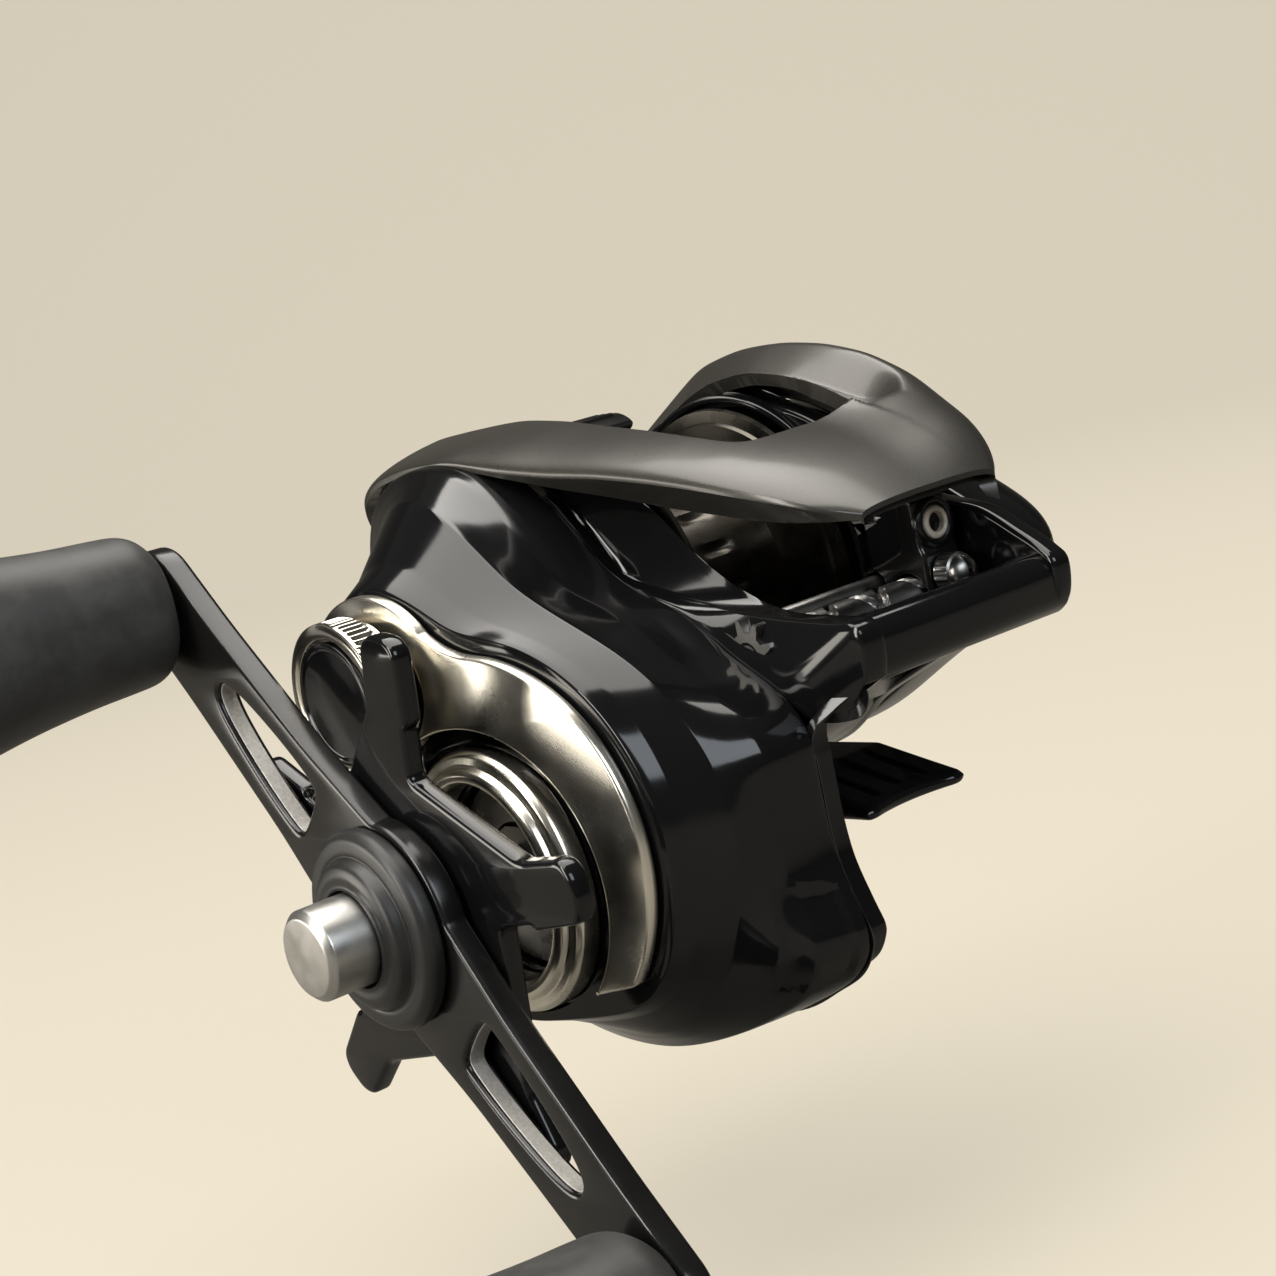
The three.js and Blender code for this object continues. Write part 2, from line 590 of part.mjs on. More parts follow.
// ================================================================ frame
const ringInner = spoolRimRadius + 0.8;
const ringOuter = spoolRimRadius + 3.4;
const footHalf = footLength / 2;

// Side walls. The gear side wall carries the drive shaft, the palm side wall is a ring that the
// spool comes out through.
// The front edge leans in towards the middle of the reel, so each plate's is set back from the cover's.
const frontAt = (x) => rimFront.map(([y, z]) => [y - 1.25 * (coverBack - x), z - 0.27 * (coverBack - x)]);
const gearSideOutline = (x) => [
  fromSpool(-20.9, 2.5), fromSpool(-20.8, 9.4), fromSpool(-19.6, 12.4), fromSpool(-16, 15.9),
  fromSpool(-10, 17), fromSpool(-4, 16.6), fromSpool(2, 15.3), fromSpool(9, 13.4), fromSpool(14.5, 11.4),
  fromSpool(19, 8.9), fromSpool(22, 6.4), fromSpool(25.5, 3.8), fromSpool(29, 2), fromSpool(33, 0.6),
  fromSpool(38, -0.4), [barFront - 1.2, barTop - 0.4], [barFront - 0.2, barTop - 2.2],
  [barFront - 0.7, barBottom + 1.3], [barFront - 2.4, barBottom + 0.1], fromDrive(28.4, 10.6),
  ...frontAt(x), fromDrive(5, -19.6), fromDrive(-1, -20.2), fromDrive(-8, -20), fromDrive(-16.6, -17.4),
  fromDrive(-24.2, -11.4), fromDrive(-28.6, -2.5), fromSpool(-21.6, -9),
];
const trayWall = 1.1;
const trayOutline = gearSideOutline(wallOuter);
const lidThickness = 0.8;
const rimRoom = coverRing(rimReach, gearCoverCentre, 0, -gap).map(([, y, z]) => [y, z]);
const trainFront = wormAxisY + 4.1;  // the tray is hollow as far as the worm gear, and solid before it
const trainRoom = box([wallOuter, trayOuter + 1], [-40, trainFront], [-40, 60]);
const gearSide = cut(
  join(
    sidePlate(gearSideOutline(wallInner), wallInner, wallOuter),
    cut(
      sidePlate(trayOutline, wallOuter - 0.4, trayOuter),
      sidePlate(inward(trayOutline, trayWall), wallOuter, trayOuter + 1).intersect(trainRoom),
    ),
    cut(
      sidePlate(trayOutline, trayOuter - 0.1, trayOuter + lidThickness),
      sidePlate(rimRoom, trayOuter - 1, trayOuter + 2),
    ),
  ),
  // The cheek narrows towards the front bar.
  planPlate([[13.7, 43], [16.6, 33.5], [30, 33.5], [30, 60], [13.7, 60]], -30, 50),
);
const palmWallOutline = [
  fromSpool(-20.6, 2), fromSpool(-19, 9), fromSpool(-14, 14.4), fromSpool(-6, 17), fromSpool(3, 17.2),
  fromSpool(11, 15.6), fromSpool(18, 12), fromSpool(23, 8), fromSpool(28, 5.4), fromSpool(34, 4),
  fromSpool(38.6, 1.4), [barFront - 1.2, barTop], [barFront, barTop - 1.5],
  [barFront - 0.6, barBottom + 2],
  [barFront - 2.4, barBottom + 0.8], fromSpool(34, -7.8), fromSpool(29, -9.2), fromSpool(24, -10.8),
  fromSpool(19, -12.8), fromSpool(14, -15), fromSpool(7, -19.2), fromSpool(-1, -20.4),
  fromSpool(-11, -17.2), fromSpool(-18, -9.6),
];
const driveBearingRadius = 5.6;
const driveBearingWidth = 1.8;
const shellRear = [...arc(spoolAxis, ringOuter, 176, 322, 16),
  ...arc(spoolAxis, ringInner + 0.3, 322, 176, 16)];
const floorWall = 1.2;              // floor between the front bar and the spool's shell
const floorUnder = [
  [barFront - 2.8, barBottom + 0.9], fromSpool(35, -7.6), fromSpool(30, -8.9), fromSpool(25, -10.3),
  fromSpool(20, -11.9), fromSpool(15.6, -14.2),
];
const floorOutline = [...floorUnder, ...floorUnder.map(([y, z]) => [y - 0.5, z + floorWall]).reverse()];
const barOutline = [
  [barBack, barBottom + 1.4], [barBack, barTop - 1.4], [barBack + 1, barTop - 0.2],
  [barFront - 1.2, barTop], [barFront - 0.2, barTop - 1], [barFront, barTop - 2.2],
  [barFront - 0.6, barBottom + 1.4], [barFront - 2.0, barBottom], [barBack + 0.8, barBottom + 0.2],
];
const footProfile = [
  [footHalf, 0], [footHalf + 0.4, footTipHeight], [footHalf * 0.62, footRootHeight],
  [-footHalf * 0.62, footRootHeight], [-footHalf - 0.4, footTipHeight], [-footHalf, 0],
];
const footHollow = 15.5;            // radius of the hollow in each end of the foot
const grooveWidth = 1.1;
const grooves = [-1, 0, 1].map((k) => {
  const middle = k * footWidth / 4;
  const slope = (footRootHeight - footTipHeight) / (footHalf * 0.38);
  const start = footHalf * 0.62;
  const length = footHalf * 0.38 + 1.5;
  const block = new THREE.BoxGeometry(grooveWidth, length, 1.2).translate(middle, length / 2, 0.12);
  return solidOf(block.rotateX(-Math.atan(slope)).translate(0, start - 0.2, footRootHeight));
});
const footEnd = (side) => {
  const bite = new THREE.CylinderGeometry(footHollow, footHollow, 12, 44).rotateX(Math.PI / 2);
  return solidOf(bite.translate(0, side * (footHalf + footHollow - 1.9), 2));
};
const footCorners = [
  [-footWidth / 2 + 1.4, footHalf + 2], [-footWidth / 2, footHalf - 1], [-footWidth / 2, 1 - footHalf],
  [1.4 - footWidth / 2, -footHalf - 2], [footWidth / 2 - 1.4, -footHalf - 2],
  [footWidth / 2, 1 - footHalf],
  [footWidth / 2, footHalf - 1], [footWidth / 2 - 1.4, footHalf + 2],
];
const foot = cut(
  sidePlate(footProfile, -footWidth / 2, footWidth / 2).intersect(planPlate(footCorners, -1, 10)),
  footEnd(1), footEnd(-1), ...grooves,
);
const frameSolid = cut(
  join(
    gearSide,
    cut(
      sidePlate(smooth(palmWallOutline, 46), -wallOuter, -wallInner),
      disc(-20, 0, ringInner, spoolAxis, 36),
    ),
    sidePlate(shellRear, -wallInner - 0.5, wallInner + 0.5),
    sidePlate(barOutline, -wallOuter + 0.2, wallOuter - 0.2),
    sidePlate(floorOutline, -wallInner - 0.5, wallInner + 0.5),
    foot,
    disc(wallInner + 0.5, windGearX + windGearWidth, idlerPin, idlerAxis, small),
  ),
  ...screwPlaces.map((place) => disc(wallInner - 1, wallOuter + 1, screwShank + gap, place, 12)),
  ...screwPlaces.map((place) => disc(wallInner - 1, wallInner + screwHead + gap, screwHeadRadius + gap,
    place, 12)),
  disc(wallInner - 1, wallOuter + 1, driveBearingRadius + gap, driveAxis, small),
  disc(wallInner - 1, wallOuter + 1, 3.9, spoolAxis, small),
  disc(-20, wallOuter, wormRadius + 1.5, wormAxis, small),
  topCoverRoom,
);
add('frame', frameSolid, 'glossBlack');

screwPlaces.forEach((place, i) => add(`gear_cover_screw_${i + 1}`, cut(
  turned([
    [wallInner + 0.1, 0], [wallInner + 0.1, screwHeadRadius], [wallInner + screwHead, screwHeadRadius],
    [wallInner + screwHead, screwShank], [coverBack + screwDepth - 0.6, screwShank],
    [coverBack + screwDepth - 0.6, 0],
  ], place, 12),
  box([wallInner - 1, wallInner + 0.6], [place[0] - 1.1, place[0] + 1.1],
    [place[1] - 0.25, place[1] + 0.25]),
  box([wallInner - 1, wallInner + 0.6], [place[0] - 0.25, place[0] + 0.25],
    [place[1] - 1.1, place[1] + 1.1]),
), 'steel'));

// ================================================================ palm side
const palmCentre = [3, spoolAxisZ - 2];
const palmRim = [
  fromSpool(-21.6, 0), fromSpool(-20.6, 8), fromSpool(-16, 13.2), fromSpool(-9, 15.8), fromSpool(0, 16.4),
  fromSpool(9, 15.2), fromSpool(17, 12.2), fromSpool(23, 8.4), fromSpool(28, 5.6), fromSpool(33, 2.6),
  fromSpool(35.4, -0.6), fromSpool(34.6, -4.6), fromSpool(31, -7.6), fromSpool(25, -9.8),
  fromSpool(19, -12.4),
  fromSpool(13, -15.6), fromSpool(7, -18.6), fromSpool(-1, -20.2), fromSpool(-10, -18.4),
  fromSpool(-18, -11),
];
const palmReach = reachOf(palmRim, palmCentre, 40);
const palmBack = -wallOuter - gap;
const scaled = (reach, share) => reach.map((r) => r * share);
function palmSolid(inset, back, drop) {
  const depth = palmCoverDepth - drop;
  return lofted([
    [back, 1], [4.5 - depth, 0.99], [2.2 - depth, 0.93], [0.8 - depth, 0.82], [-depth, 0.66],
  ].map(([x, share]) => coverRing(scaled(palmReach, share), palmCentre, x, inset)).reverse());
}
const dialRadius = 9.4;
const dialRecess = 0.9;
const palmBearingX = -18.2;
const magnetFront = -12.2;
const lockAxis = fromSpool(26, -2);
const lockRadius = 3.2;
// The palm cover slides off sideways, so it clears the top cover over the start of that way too.
const slideRoom = [0, 1.2, 2.4, 3.6, 4.8].map((way) => topCoverKeepOut.translate([way, 0, 0]));
const palmCover = cut(
  join(
    cut(palmSolid(0, palmBack, 0), palmSolid(coverWall, palmBack + 1, coverWall)),
    tube(1 - palmCoverDepth, magnetFront - 3, 4.5, 6, spoolAxis, small),
  ),
  ...slideRoom,
  disc(-40, dialRecess - palmCoverDepth, dialRadius + gap, spoolAxis),
  disc(-40, 0, lockRadius + gap, lockAxis, small),
);
add('palm_side_cover', palmCover, 'glossBlack');
add('spool_bearing_palm_side', tube(
  palmBearingX - 2, palmBearingX - 0.2, spoolShaftRadius + gap, 4.2, spoolAxis, small), 'steel');
const dialBack = dialRecess - palmCoverDepth - gap;
const dialGrips = Array.from({ length: 12 }, (_, i) => {
  const [y, z] = arc(spoolAxis, dialRadius + 0.5, 30 * i, 30 * i, 1)[0];
  return disc(dialBack - 3, dialBack + 1, 1.1, [y, z], 8);
});
add('brake_dial', cut(disc(dialBack - 1.6, dialBack, dialRadius, spoolAxis, 36), ...dialGrips),
  'satinBlack');
const magnetOuter = 9;
add('magnet_ring', tube(-17.6, magnetFront, 6.3, magnetOuter, spoolAxis), 'steel');
const lockWing = box([-24.2, -21.9], [lockAxis[0] - 0.9, lockAxis[0] + 0.9],
  [lockAxis[1] - 2.6, lockAxis[1] + 2.6]);
add('cover_lock_knob', join(disc(-22, -17.4, lockRadius, lockAxis, small), lockWing), 'satinBlack');

// ================================================================ spool
const spoolHalf = spoolWidth / 2;
const spoolBore = spoolShaftRadius + gap;
add('spool', turned([
  [-spoolHalf, spoolHubRadius - 1.2], [-spoolHalf, spoolRimRadius],
  [flangeThickness - spoolHalf, spoolRimRadius],
  [flangeThickness + 1.1 - spoolHalf, spoolHubRadius],
  [spoolHalf - flangeThickness - 1.1, spoolHubRadius],
  [spoolHalf - flangeThickness, spoolRimRadius], [spoolHalf, spoolRimRadius],
  [spoolHalf, spoolHubRadius - 1.2],
  [1, spoolHubRadius - 1.2], [1, 3], [3, 3], [3, spoolBore], [-3, spoolBore], [-3, 3], [-1, 3],
  [-1, spoolHubRadius - 1.2],
], spoolAxis, 30), 'aluminium');
const shaftEnd = gearCoverDepth + 0.1;
const crossPinX = pinionX - 1.1;
add('spool_shaft', join(
  disc(palmBearingX - 2.7, shaftEnd, spoolShaftRadius, spoolAxis, 16),
  box([crossPinX, crossPinX + 0.8], [-2.4, 2.4], [spoolAxisZ - 0.55, spoolAxisZ + 0.55]),
), 'steel');
add('brake_rotor', turned([
  [-spoolHalf - 1.1, spoolBore], [-spoolHalf - 1.1, magnetOuter + 1.4], [-16.4, magnetOuter + 1.4],
  [-16.4, magnetOuter + 0.6], [-spoolHalf - 1.9, magnetOuter + 0.6], [-spoolHalf - 1.9, spoolBore],
], spoolAxis), 'aluminium');

// ================================================================ pinion and clutch
const pinionRoot = driveModule * (pinionTeeth / 2 - 1.05);
const collarR = pinionRoot + 1.2;
const grooveR = pinionRoot + 0.1;
const journalR = 2;
const pinionBody = join(
  turned([
    [pinionX - 1.4, spoolBore], [pinionX - 1.4, collarR], [pinionX + 0.7, collarR],
    [pinionX + 0.7, pinionRoot],
    [pinionToothEnd, pinionRoot], [pinionToothEnd, collarR], [yokeX - gap, collarR],
    [yokeX - gap, grooveR],
    [yokeX + yokeThickness + gap, grooveR], [yokeX + yokeThickness + gap, collarR],
    [yokeX + yokeThickness + yokeFlange, collarR], [yokeX + yokeThickness + yokeFlange, journalR],
    [pinionBearingX + pinionBearingWidth + 1.2, journalR],
    [pinionBearingX + pinionBearingWidth + 1.2, spoolBore],
  ], spoolAxis, small),
  cut(
    sidePlate(
      gearOutline(pinionTeeth, driveModule, driveToSpool + 180 + 180 / pinionTeeth, spoolAxis),
      pinionX + 0.5, pinionToothEnd + 0.2),
    disc(0, 60, spoolBore + 0.1, spoolAxis, small),
  ),
);
const pinionSlot = box([pinionX - 2, crossPinX + 1.1], [-5, 5], [spoolAxisZ - 0.85, spoolAxisZ + 0.85]);
add('pinion_gear', cut(pinionBody, pinionSlot), 'brass');
add('pinion_bearing', tube(
  pinionBearingX, pinionBearingX + pinionBearingWidth, journalR + gap, pinionBearingRadius, spoolAxis,
    small), 'steel');
const endBearingX = pinionBearingX + pinionBearingWidth + 1.2 + pinionTravel + 0.4;
add('spool_bearing_gear_side', tube(
  endBearingX, endBearingX + 1.4, spoolBore, bossBore - gap, spoolAxis, small), 'steel');
const postSpan = 8.3;
const postRise = 1.5;
const postRadius = 1;
const postHeadRadius = 1.9;
const postHead = gearCoverDepth - 7.5;
const posts = [
  ['front', fromSpool(postSpan, postRise)],
  ['rear', fromSpool(-postSpan, postRise)],
];
for (const [side, place] of posts) {
  add(`yoke_post_${side}`, turned([
    [wallOuter + gap, 0], [wallOuter + gap, postRadius], [postHead, postRadius],
    [postHead, postHeadRadius], [postHead + 0.7, postHeadRadius], [postHead + 0.7, 0],
  ], place, 16), 'steel');
}
const yokeOutline = [
  fromSpool(-postSpan - 2.4, -1.6), fromSpool(-grooveR - gap, -2.8),
  ...arc(spoolAxis, grooveR + gap, 180, 0, 10),
  fromSpool(grooveR + gap, -2.8), fromSpool(postSpan + 2.4, -1.6), fromSpool(postSpan + 2.4, 3.6),
  fromSpool(4, 5.2), fromSpool(-4, 5.2), fromSpool(-postSpan - 2.4, 3.6),
];
add('clutch_yoke', cut(
  sidePlate(yokeOutline, yokeX, yokeX + yokeThickness),
  ...posts.map(([, place]) => disc(0, 60, postRadius + gap, place, 16)),
), 'satinBlack');
const camX = driveGearX + driveGearWidth + 0.4;
const camThickness = 1.1;
const camOuter = 6.9;
add('clutch_cam', cut(
  sidePlate([
    ...arc(spoolAxis, camOuter, 200, 150, 4), ...arc(spoolAxis, camOuter, 140, -140, 24),
    fromSpool(-8, -5.5), fromSpool(-11.5, -4.5), fromSpool(-11, -2),
  ], camX, camX + camThickness),
  disc(0, 60, 4.1, spoolAxis, small),
), 'steel');

const barHalf = wallInner - 0.5;
const legBottom = thumbPressTravel + 3.1;   // it stays this far clear of the shell when pressed
const barProfile = [
  fromSpool(-20.9, legBottom), fromSpool(-19.2, legBottom), fromSpool(-19, 15.4),
  [-13.6, thumbBarTop - 2.2],
  [-13.1, thumbBarTop - 1.2], [-15, thumbBarTop - 0.1], [-18.6, thumbBarTop], [-20.8, thumbBarTop - 1.2],
];
add('clutch_bar', sidePlate(barProfile, -barHalf, barHalf, 0.4), 'satinBlack');

// ================================================================ drive train
const shaftBore = driveShaftRadius + gap;
const shaftTip = handleInner + handleThickness + 4.6;
add('drive_shaft', disc(wallInner - 0.3, shaftTip, driveShaftRadius, driveAxis, small), 'steel');
add('drive_bearing_inner', tube(
  wallInner + 0.2, wallInner + 0.2 + driveBearingWidth, shaftBore, driveBearingRadius, driveAxis, small),
    'steel');
const drumRadius = 14;
const webThickness = 1.2;
add('drive_gear', cut(
  sidePlate(gearOutline(driveTeeth, driveModule, driveToSpool, driveAxis), driveGearX,
    driveGearX + driveGearWidth),
  disc(0, 60, shaftBore, driveAxis, small),
  disc(driveGearX + webThickness, 60, drumRadius, driveAxis),
), 'brass');
add('drag_washer', tube(
  driveGearX + webThickness + gap, driveGearX + webThickness + 1, 3.4, drumRadius - gap, driveAxis),
    'felt');
add('key_washer', tube(
  driveGearX + webThickness + 1.3, driveGearX + webThickness + 2.1, shaftBore, drumRadius - gap,
    driveAxis), 'steel');
const windTip = [trainModule, trainAngle];
add('wind_drive_gear', cut(
  sidePlate(gearOutline(windShaftTeeth, ...windTip, driveAxis), windGearX, windGearX + windGearWidth),
  disc(0, 60, shaftBore, driveAxis, small)), 'aluminium');
add('idler_gear', cut(
  sidePlate(gearOutline(idlerTeeth, trainModule, trainAngle + 180 / idlerTeeth, idlerAxis), windGearX,
    windGearX + windGearWidth),
  disc(0, 60, idlerPin + gap, idlerAxis, small)), 'aluminium');
add('worm_gear', cut(
  sidePlate(gearOutline(wormGearTeeth, trainModule, trainAngle + 180, wormAxis), windGearX,
    windGearX + windGearWidth),
  disc(0, 60, wormJournal + gap, wormAxis, small)), 'aluminium');
const ratchetX = windGearX + windGearWidth + gap;
const ratchetTeeth = 12;
const ratchetOutline = Array.from({ length: ratchetTeeth }, (_, i) => {
  const start = 360 * i / ratchetTeeth;
  return [...arc(driveAxis, 8.4, start, start, 1).slice(1),
    ...arc(driveAxis, 6.6, start + 4, start + 26, 2)];
}).flat();
add('ratchet_wheel', cut(
  sidePlate(ratchetOutline, ratchetX, ratchetX + 0.9), disc(0, 60, shaftBore, driveAxis, small)),
    'steel');
const sleeveRadius = 4.5;
add('clutch_sleeve', tube(driveGearX + driveGearWidth + 1, driveFace - 2.2, shaftBore, sleeveRadius,
  driveAxis, small), 'steel');
add('roller_clutch', tube(
  clutchTubeBack + 0.4, clutchTubeBack + 5.8, sleeveRadius + gap, clutchBore - gap, driveAxis), 'steel');
add('drive_bearing_outer', tube(
  clutchTubeBack + 6.1, clutchTubeBack + 8.1, sleeveRadius + gap, clutchBore - gap, driveAxis), 'steel');

// ================================================================ casting cap
const inlayDepth = 0.5;
add('cast_control_cap', turned([
  [capBack - 0.4, 0], [capBack - 0.4, bossBore - 0.5], [bossFace + 0.4, bossBore - 0.5],
  [bossFace + 0.4, bossRadius + gap],
  [capBack, bossRadius + gap], [capBack, capRadius - 0.6], [capFace - knurlLength, capRadius - 0.6],
  [capFace - knurlLength, capRadius], [capFace - 0.3, capRadius], [capFace, capRadius - 0.3],
  [capFace, capRadius - 1.5], [capFace - inlayDepth, capRadius - 1.5], [capFace - inlayDepth, 0],
], spoolAxis, 28), 'silver');
add('cap_inlay', disc(capFace - 0.2, capFace + 0.2, capRadius - 1.8, spoolAxis), 'glossBlack');
add('cap_friction_pad', disc(shaftEnd + gap, capBack - 0.7, 2.2, spoolAxis, small), 'brass');

// ================================================================ star drag
// Each arm as [distance, degrees from the arm], clockwise side first: a straight web runs from the
// far side of its tip to the neck of the next arm.
const armCorners = [
  [13.4, -10], [18.2, -7.4], [18.6, -9.2], [starReach - 0.9, -6.4], [starReach, -3],
  [starReach, 3], [starReach - 0.9, 6.4], [19.4, 9.4],
];
const starOutline = Array.from({ length: starArms }, (_, k) => armCorners.map(([r, turn]) => {
  const angle = rad(starPhase + 360 * k / starArms + turn);
  return [driveAxisY + r * Math.cos(angle), driveAxisZ + r * Math.sin(angle)];
})).flat();
add('star_drag', cut(
  join(
    sidePlate(starOutline, starInner, starOuter, 0.35),
    turned([
      [collarFace + 0.5, shaftBore], [collarFace + 0.5, 6.4], [starInner - 2.2, 6.4],
      [starInner - 0.9, starHubRadius],
      [starOuter - 0.2, starHubRadius], [starOuter - 0.2, shaftBore],
    ], driveAxis),
  ),
  disc(0, 90, shaftBore, driveAxis, small),
), 'glossBlack');

// ================================================================ handle
const along = (u, w) => {
  const angle = rad(handleAngle);
  return [
    driveAxisY + u * Math.cos(angle) - w * Math.sin(angle),
    driveAxisZ + u * Math.sin(angle) + w * Math.cos(angle),
  ];
};
const armSide = [
  [handleLength, 0], [handleLength - 8, 0.02], [slotEnd, 0.12], [slotStart + 3, 0.6],
].map(([u, share]) => [u, handleTipRadius + (handleArmWidth / 2 + 1.4 - handleTipRadius) * share]);
const halfHandle = [
  ...Array.from({ length: 9 }, (_, i) => {
    const turn = rad(-90 + 180 * i / 8);
    return [handleLength + handleTipRadius * Math.cos(turn), handleTipRadius * Math.sin(turn)];
  }),
  ...armSide.slice(1).map(([u, w]) => [u, w]),
  ...Array.from({ length: 9 }, (_, i) => {
    const turn = rad(50 + 80 * i / 8);
    return [handleHubRadius * Math.cos(turn), handleHubRadius * Math.sin(turn)];
  }),
  ...armSide.slice(1).reverse().map(([u, w]) => [-u, w]),
];
const otherHalf = halfHandle.map(([u, w]) => [-u, -w]);
const handleOutline = [...halfHandle, ...otherHalf].map(([u, w]) => along(u, w));
const slotOutline = (sign) => smooth([
  [slotStart, -2.9], [slotStart + 1, -3.5], [slotStart + 7, -3.3], [slotEnd - 3, -2.3],
  [slotEnd - 0.4, -1.2],
  [slotEnd, 0], [slotEnd - 0.4, 1.2], [slotEnd - 3, 2.3], [slotStart + 7, 3.3], [slotStart + 1, 3.5],
  [slotStart, 2.9],
].map(([u, w]) => along(sign * u, sign * w)), 22);
const knobAxes = [['a', along(handleLength, 0)], ['b', along(-handleLength, 0)]];
add('handle_arm', cut(
  sidePlate(handleOutline, handleInner, handleOuter, 0.4),
  ...[1, -1].map((sign) => sidePlate(slotOutline(sign), handleInner - 1, handleOuter + 1)),
  disc(0, 90, shaftBore, driveAxis, small),
  ...knobAxes.map(([, place]) => disc(0, 90, knobShaftRadius + gap, place, small)),
), 'satinBlack');
const retainerBack = handleOuter + gap;
add('nut_retainer', turned([
  [retainerBack, nutRadius + gap], [retainerBack, retainerRadius], [retainerBack + 1.4, retainerRadius],
  [retainerBack + 2, retainerRadius - 0.7], [retainerBack + 2.2, retainerRadius - 2.2],
  [retainerBack + 3.2, retainerRadius - 2.8], [retainerBack + retainerHeight, retainerRadius - 3.8],
  [retainerBack + retainerHeight, nutRadius + gap],
], driveAxis, 28), 'satinBlack');
add('handle_nut', turned([
  [shaftTip + gap, 0], [shaftTip + gap, shaftBore], [retainerBack, shaftBore], [retainerBack, nutRadius],
  [nutFace - 0.5, nutRadius], [nutFace, nutRadius - 0.5], [nutFace, 0],
], driveAxis), 'brushed');

// ================================================================ knobs
const knobBack = handleOuter + 0.5;
const knobEnd = knobBack + knobLength;
const bearingSeat = 3.7;
const bearingWidth = 2.4;
const knobCapRadius = 4.6;
const knobCapDepth = 2.2;
const knobStations = [
  [0, 0.72, 0.66], [0.06, 0.96, 0.88], [0.25, 1.02, 0.96], [0.5, 1.12, 1], [0.72, 1.28, 1],
  [0.86, 1.34, 0.97], [0.96, 1.2, 0.84], [1, 0.9, 0.66],
];
const knobSides = 20;
function knobSolid([y, z]) {
  return lofted(knobStations.map(([share, high, wide]) => {
    const halfHigh = Math.min(high * knobNeckHalf, knobEndHalf);
    const halfWide = wide * knobThickness / 2;
    return Array.from({ length: knobSides }, (_, i) => {
      const angle = 2 * Math.PI * i / knobSides;
      const full = (value) => Math.sign(value) * Math.abs(value) ** 0.85;
      return [
        knobBack + share * knobLength,
        y + halfWide * full(Math.cos(angle)),
        z + halfHigh * full(Math.sin(angle)),
      ];
    });
  }));
}
for (const [side, place] of knobAxes) {
  add(`knob_shaft_${side}`, disc(handleInner, knobEnd - knobCapDepth - 0.8, knobShaftRadius, place,
    small), 'steel');
  add(`knob_${side}`, cut(
    knobSolid(place),
    disc(0, 120, knobShaftRadius + gap, place, small),
    disc(0, knobBack + bearingWidth + gap, bearingSeat, place, small),
    disc(knobEnd - knobCapDepth, 120, knobCapRadius + gap, place),
  ), 'rubber');
  add(`knob_bearing_${side}`, tube(
    knobBack, knobBack + bearingWidth, knobShaftRadius + gap, bearingSeat - gap, place, small), 'steel');
  add(`knob_cap_${side}`, turned([
    [knobEnd - knobCapDepth + gap, 0], [knobEnd - knobCapDepth + gap, knobCapRadius],
    [knobEnd - 0.6, knobCapRadius],
    [knobEnd - 0.1, knobCapRadius - 0.8], [knobEnd - 0.1, 0],
  ], place), 'satinBlack');
}

// ================================================================ level wind
const wormEnd = wallInner + 0.3;
add('worm_shaft', turned([
  [-wallOuter + 0.2, 0], [-wallOuter + 0.2, wormJournal], [-wormEnd + 0.6, wormJournal],
  [-wormEnd + 0.6, wormRadius],
  [wormEnd - 0.6, wormRadius], [wormEnd - 0.6, wormJournal], [windGearX + windGearWidth, wormJournal],
  [windGearX + windGearWidth, 0],
], wormAxis, small), 'steel');
const bushOuter = wormRadius + 1.2;
for (const [side, x] of [['gear', wallInner], ['palm', -wallOuter]]) {
  add(`worm_bush_${side}_side`, tube(
    x + 0.1, x + wallThickness - 0.1, wormJournal + gap, bushOuter, wormAxis, small), 'brass');
}
const guideBarAxis = [wormAxisY - 4.4, wormAxisZ + 1.6];
const guideBarRadius = 0.9;
add('guide_bar', disc(gap - wallInner, wallInner - gap, guideBarRadius, guideBarAxis, 12), 'steel');
const guideHalf = 2.3;
const eyeRadius = 1.8;
const eyeZ = wormAxisZ + 6.8;
const eyeBack = wormAxisY + 0.4;
const eyeFront = wormAxisY + 2.7;
const carriageFront = wormAxisY + 3;
const pawlZ = wormAxisZ + 1.9;
const guideProfile = [
  [wormAxisY + 1.6, wormAxisZ - 2.9], [carriageFront, wormAxisZ - 1.6], [carriageFront, pawlZ + 2.3],
  [eyeFront, pawlZ + 2.9], [eyeFront, eyeZ + 2.7], [eyeBack, eyeZ + 2.7], [eyeBack - 0.4, pawlZ + 2.8],
  [wormAxisY - 3, wormAxisZ + 3.6], [guideBarAxis[0] - 1.7, guideBarAxis[1] + 1.2],
  [guideBarAxis[0] - 1.7, guideBarAxis[1] - 1.4], [wormAxisY - 2.8, wormAxisZ - 1.6],
  [wormAxisY - 1.6, wormAxisZ - 2.9],
];
const aboutY = (profile, [x, z], sides = small) => {
  const closed = profile[0][1] === 0 ? profile : [...profile, profile[0]];
  const points = closed.map(([y, r]) => new THREE.Vector2(r, y));
  return solidOf(new THREE.LatheGeometry(points, sides).translate(x, 0, z));
};
const eye = [guideRest, eyeZ];
add('line_guide', cut(
  sidePlate(guideProfile, guideRest - guideHalf, guideRest + guideHalf, 0.3),
  aboutY([[0, 0], [0, eyeRadius + 0.05], [60, eyeRadius + 0.05], [60, 0]], eye, 24),
  disc(-60, 60, wormRadius + gap, wormAxis, small),
  disc(-60, 60, guideBarRadius + gap, guideBarAxis, 12),
), 'satinBlack');
const ringOut = eyeRadius - 0.2;
const ringIn = ringOut - 0.7;
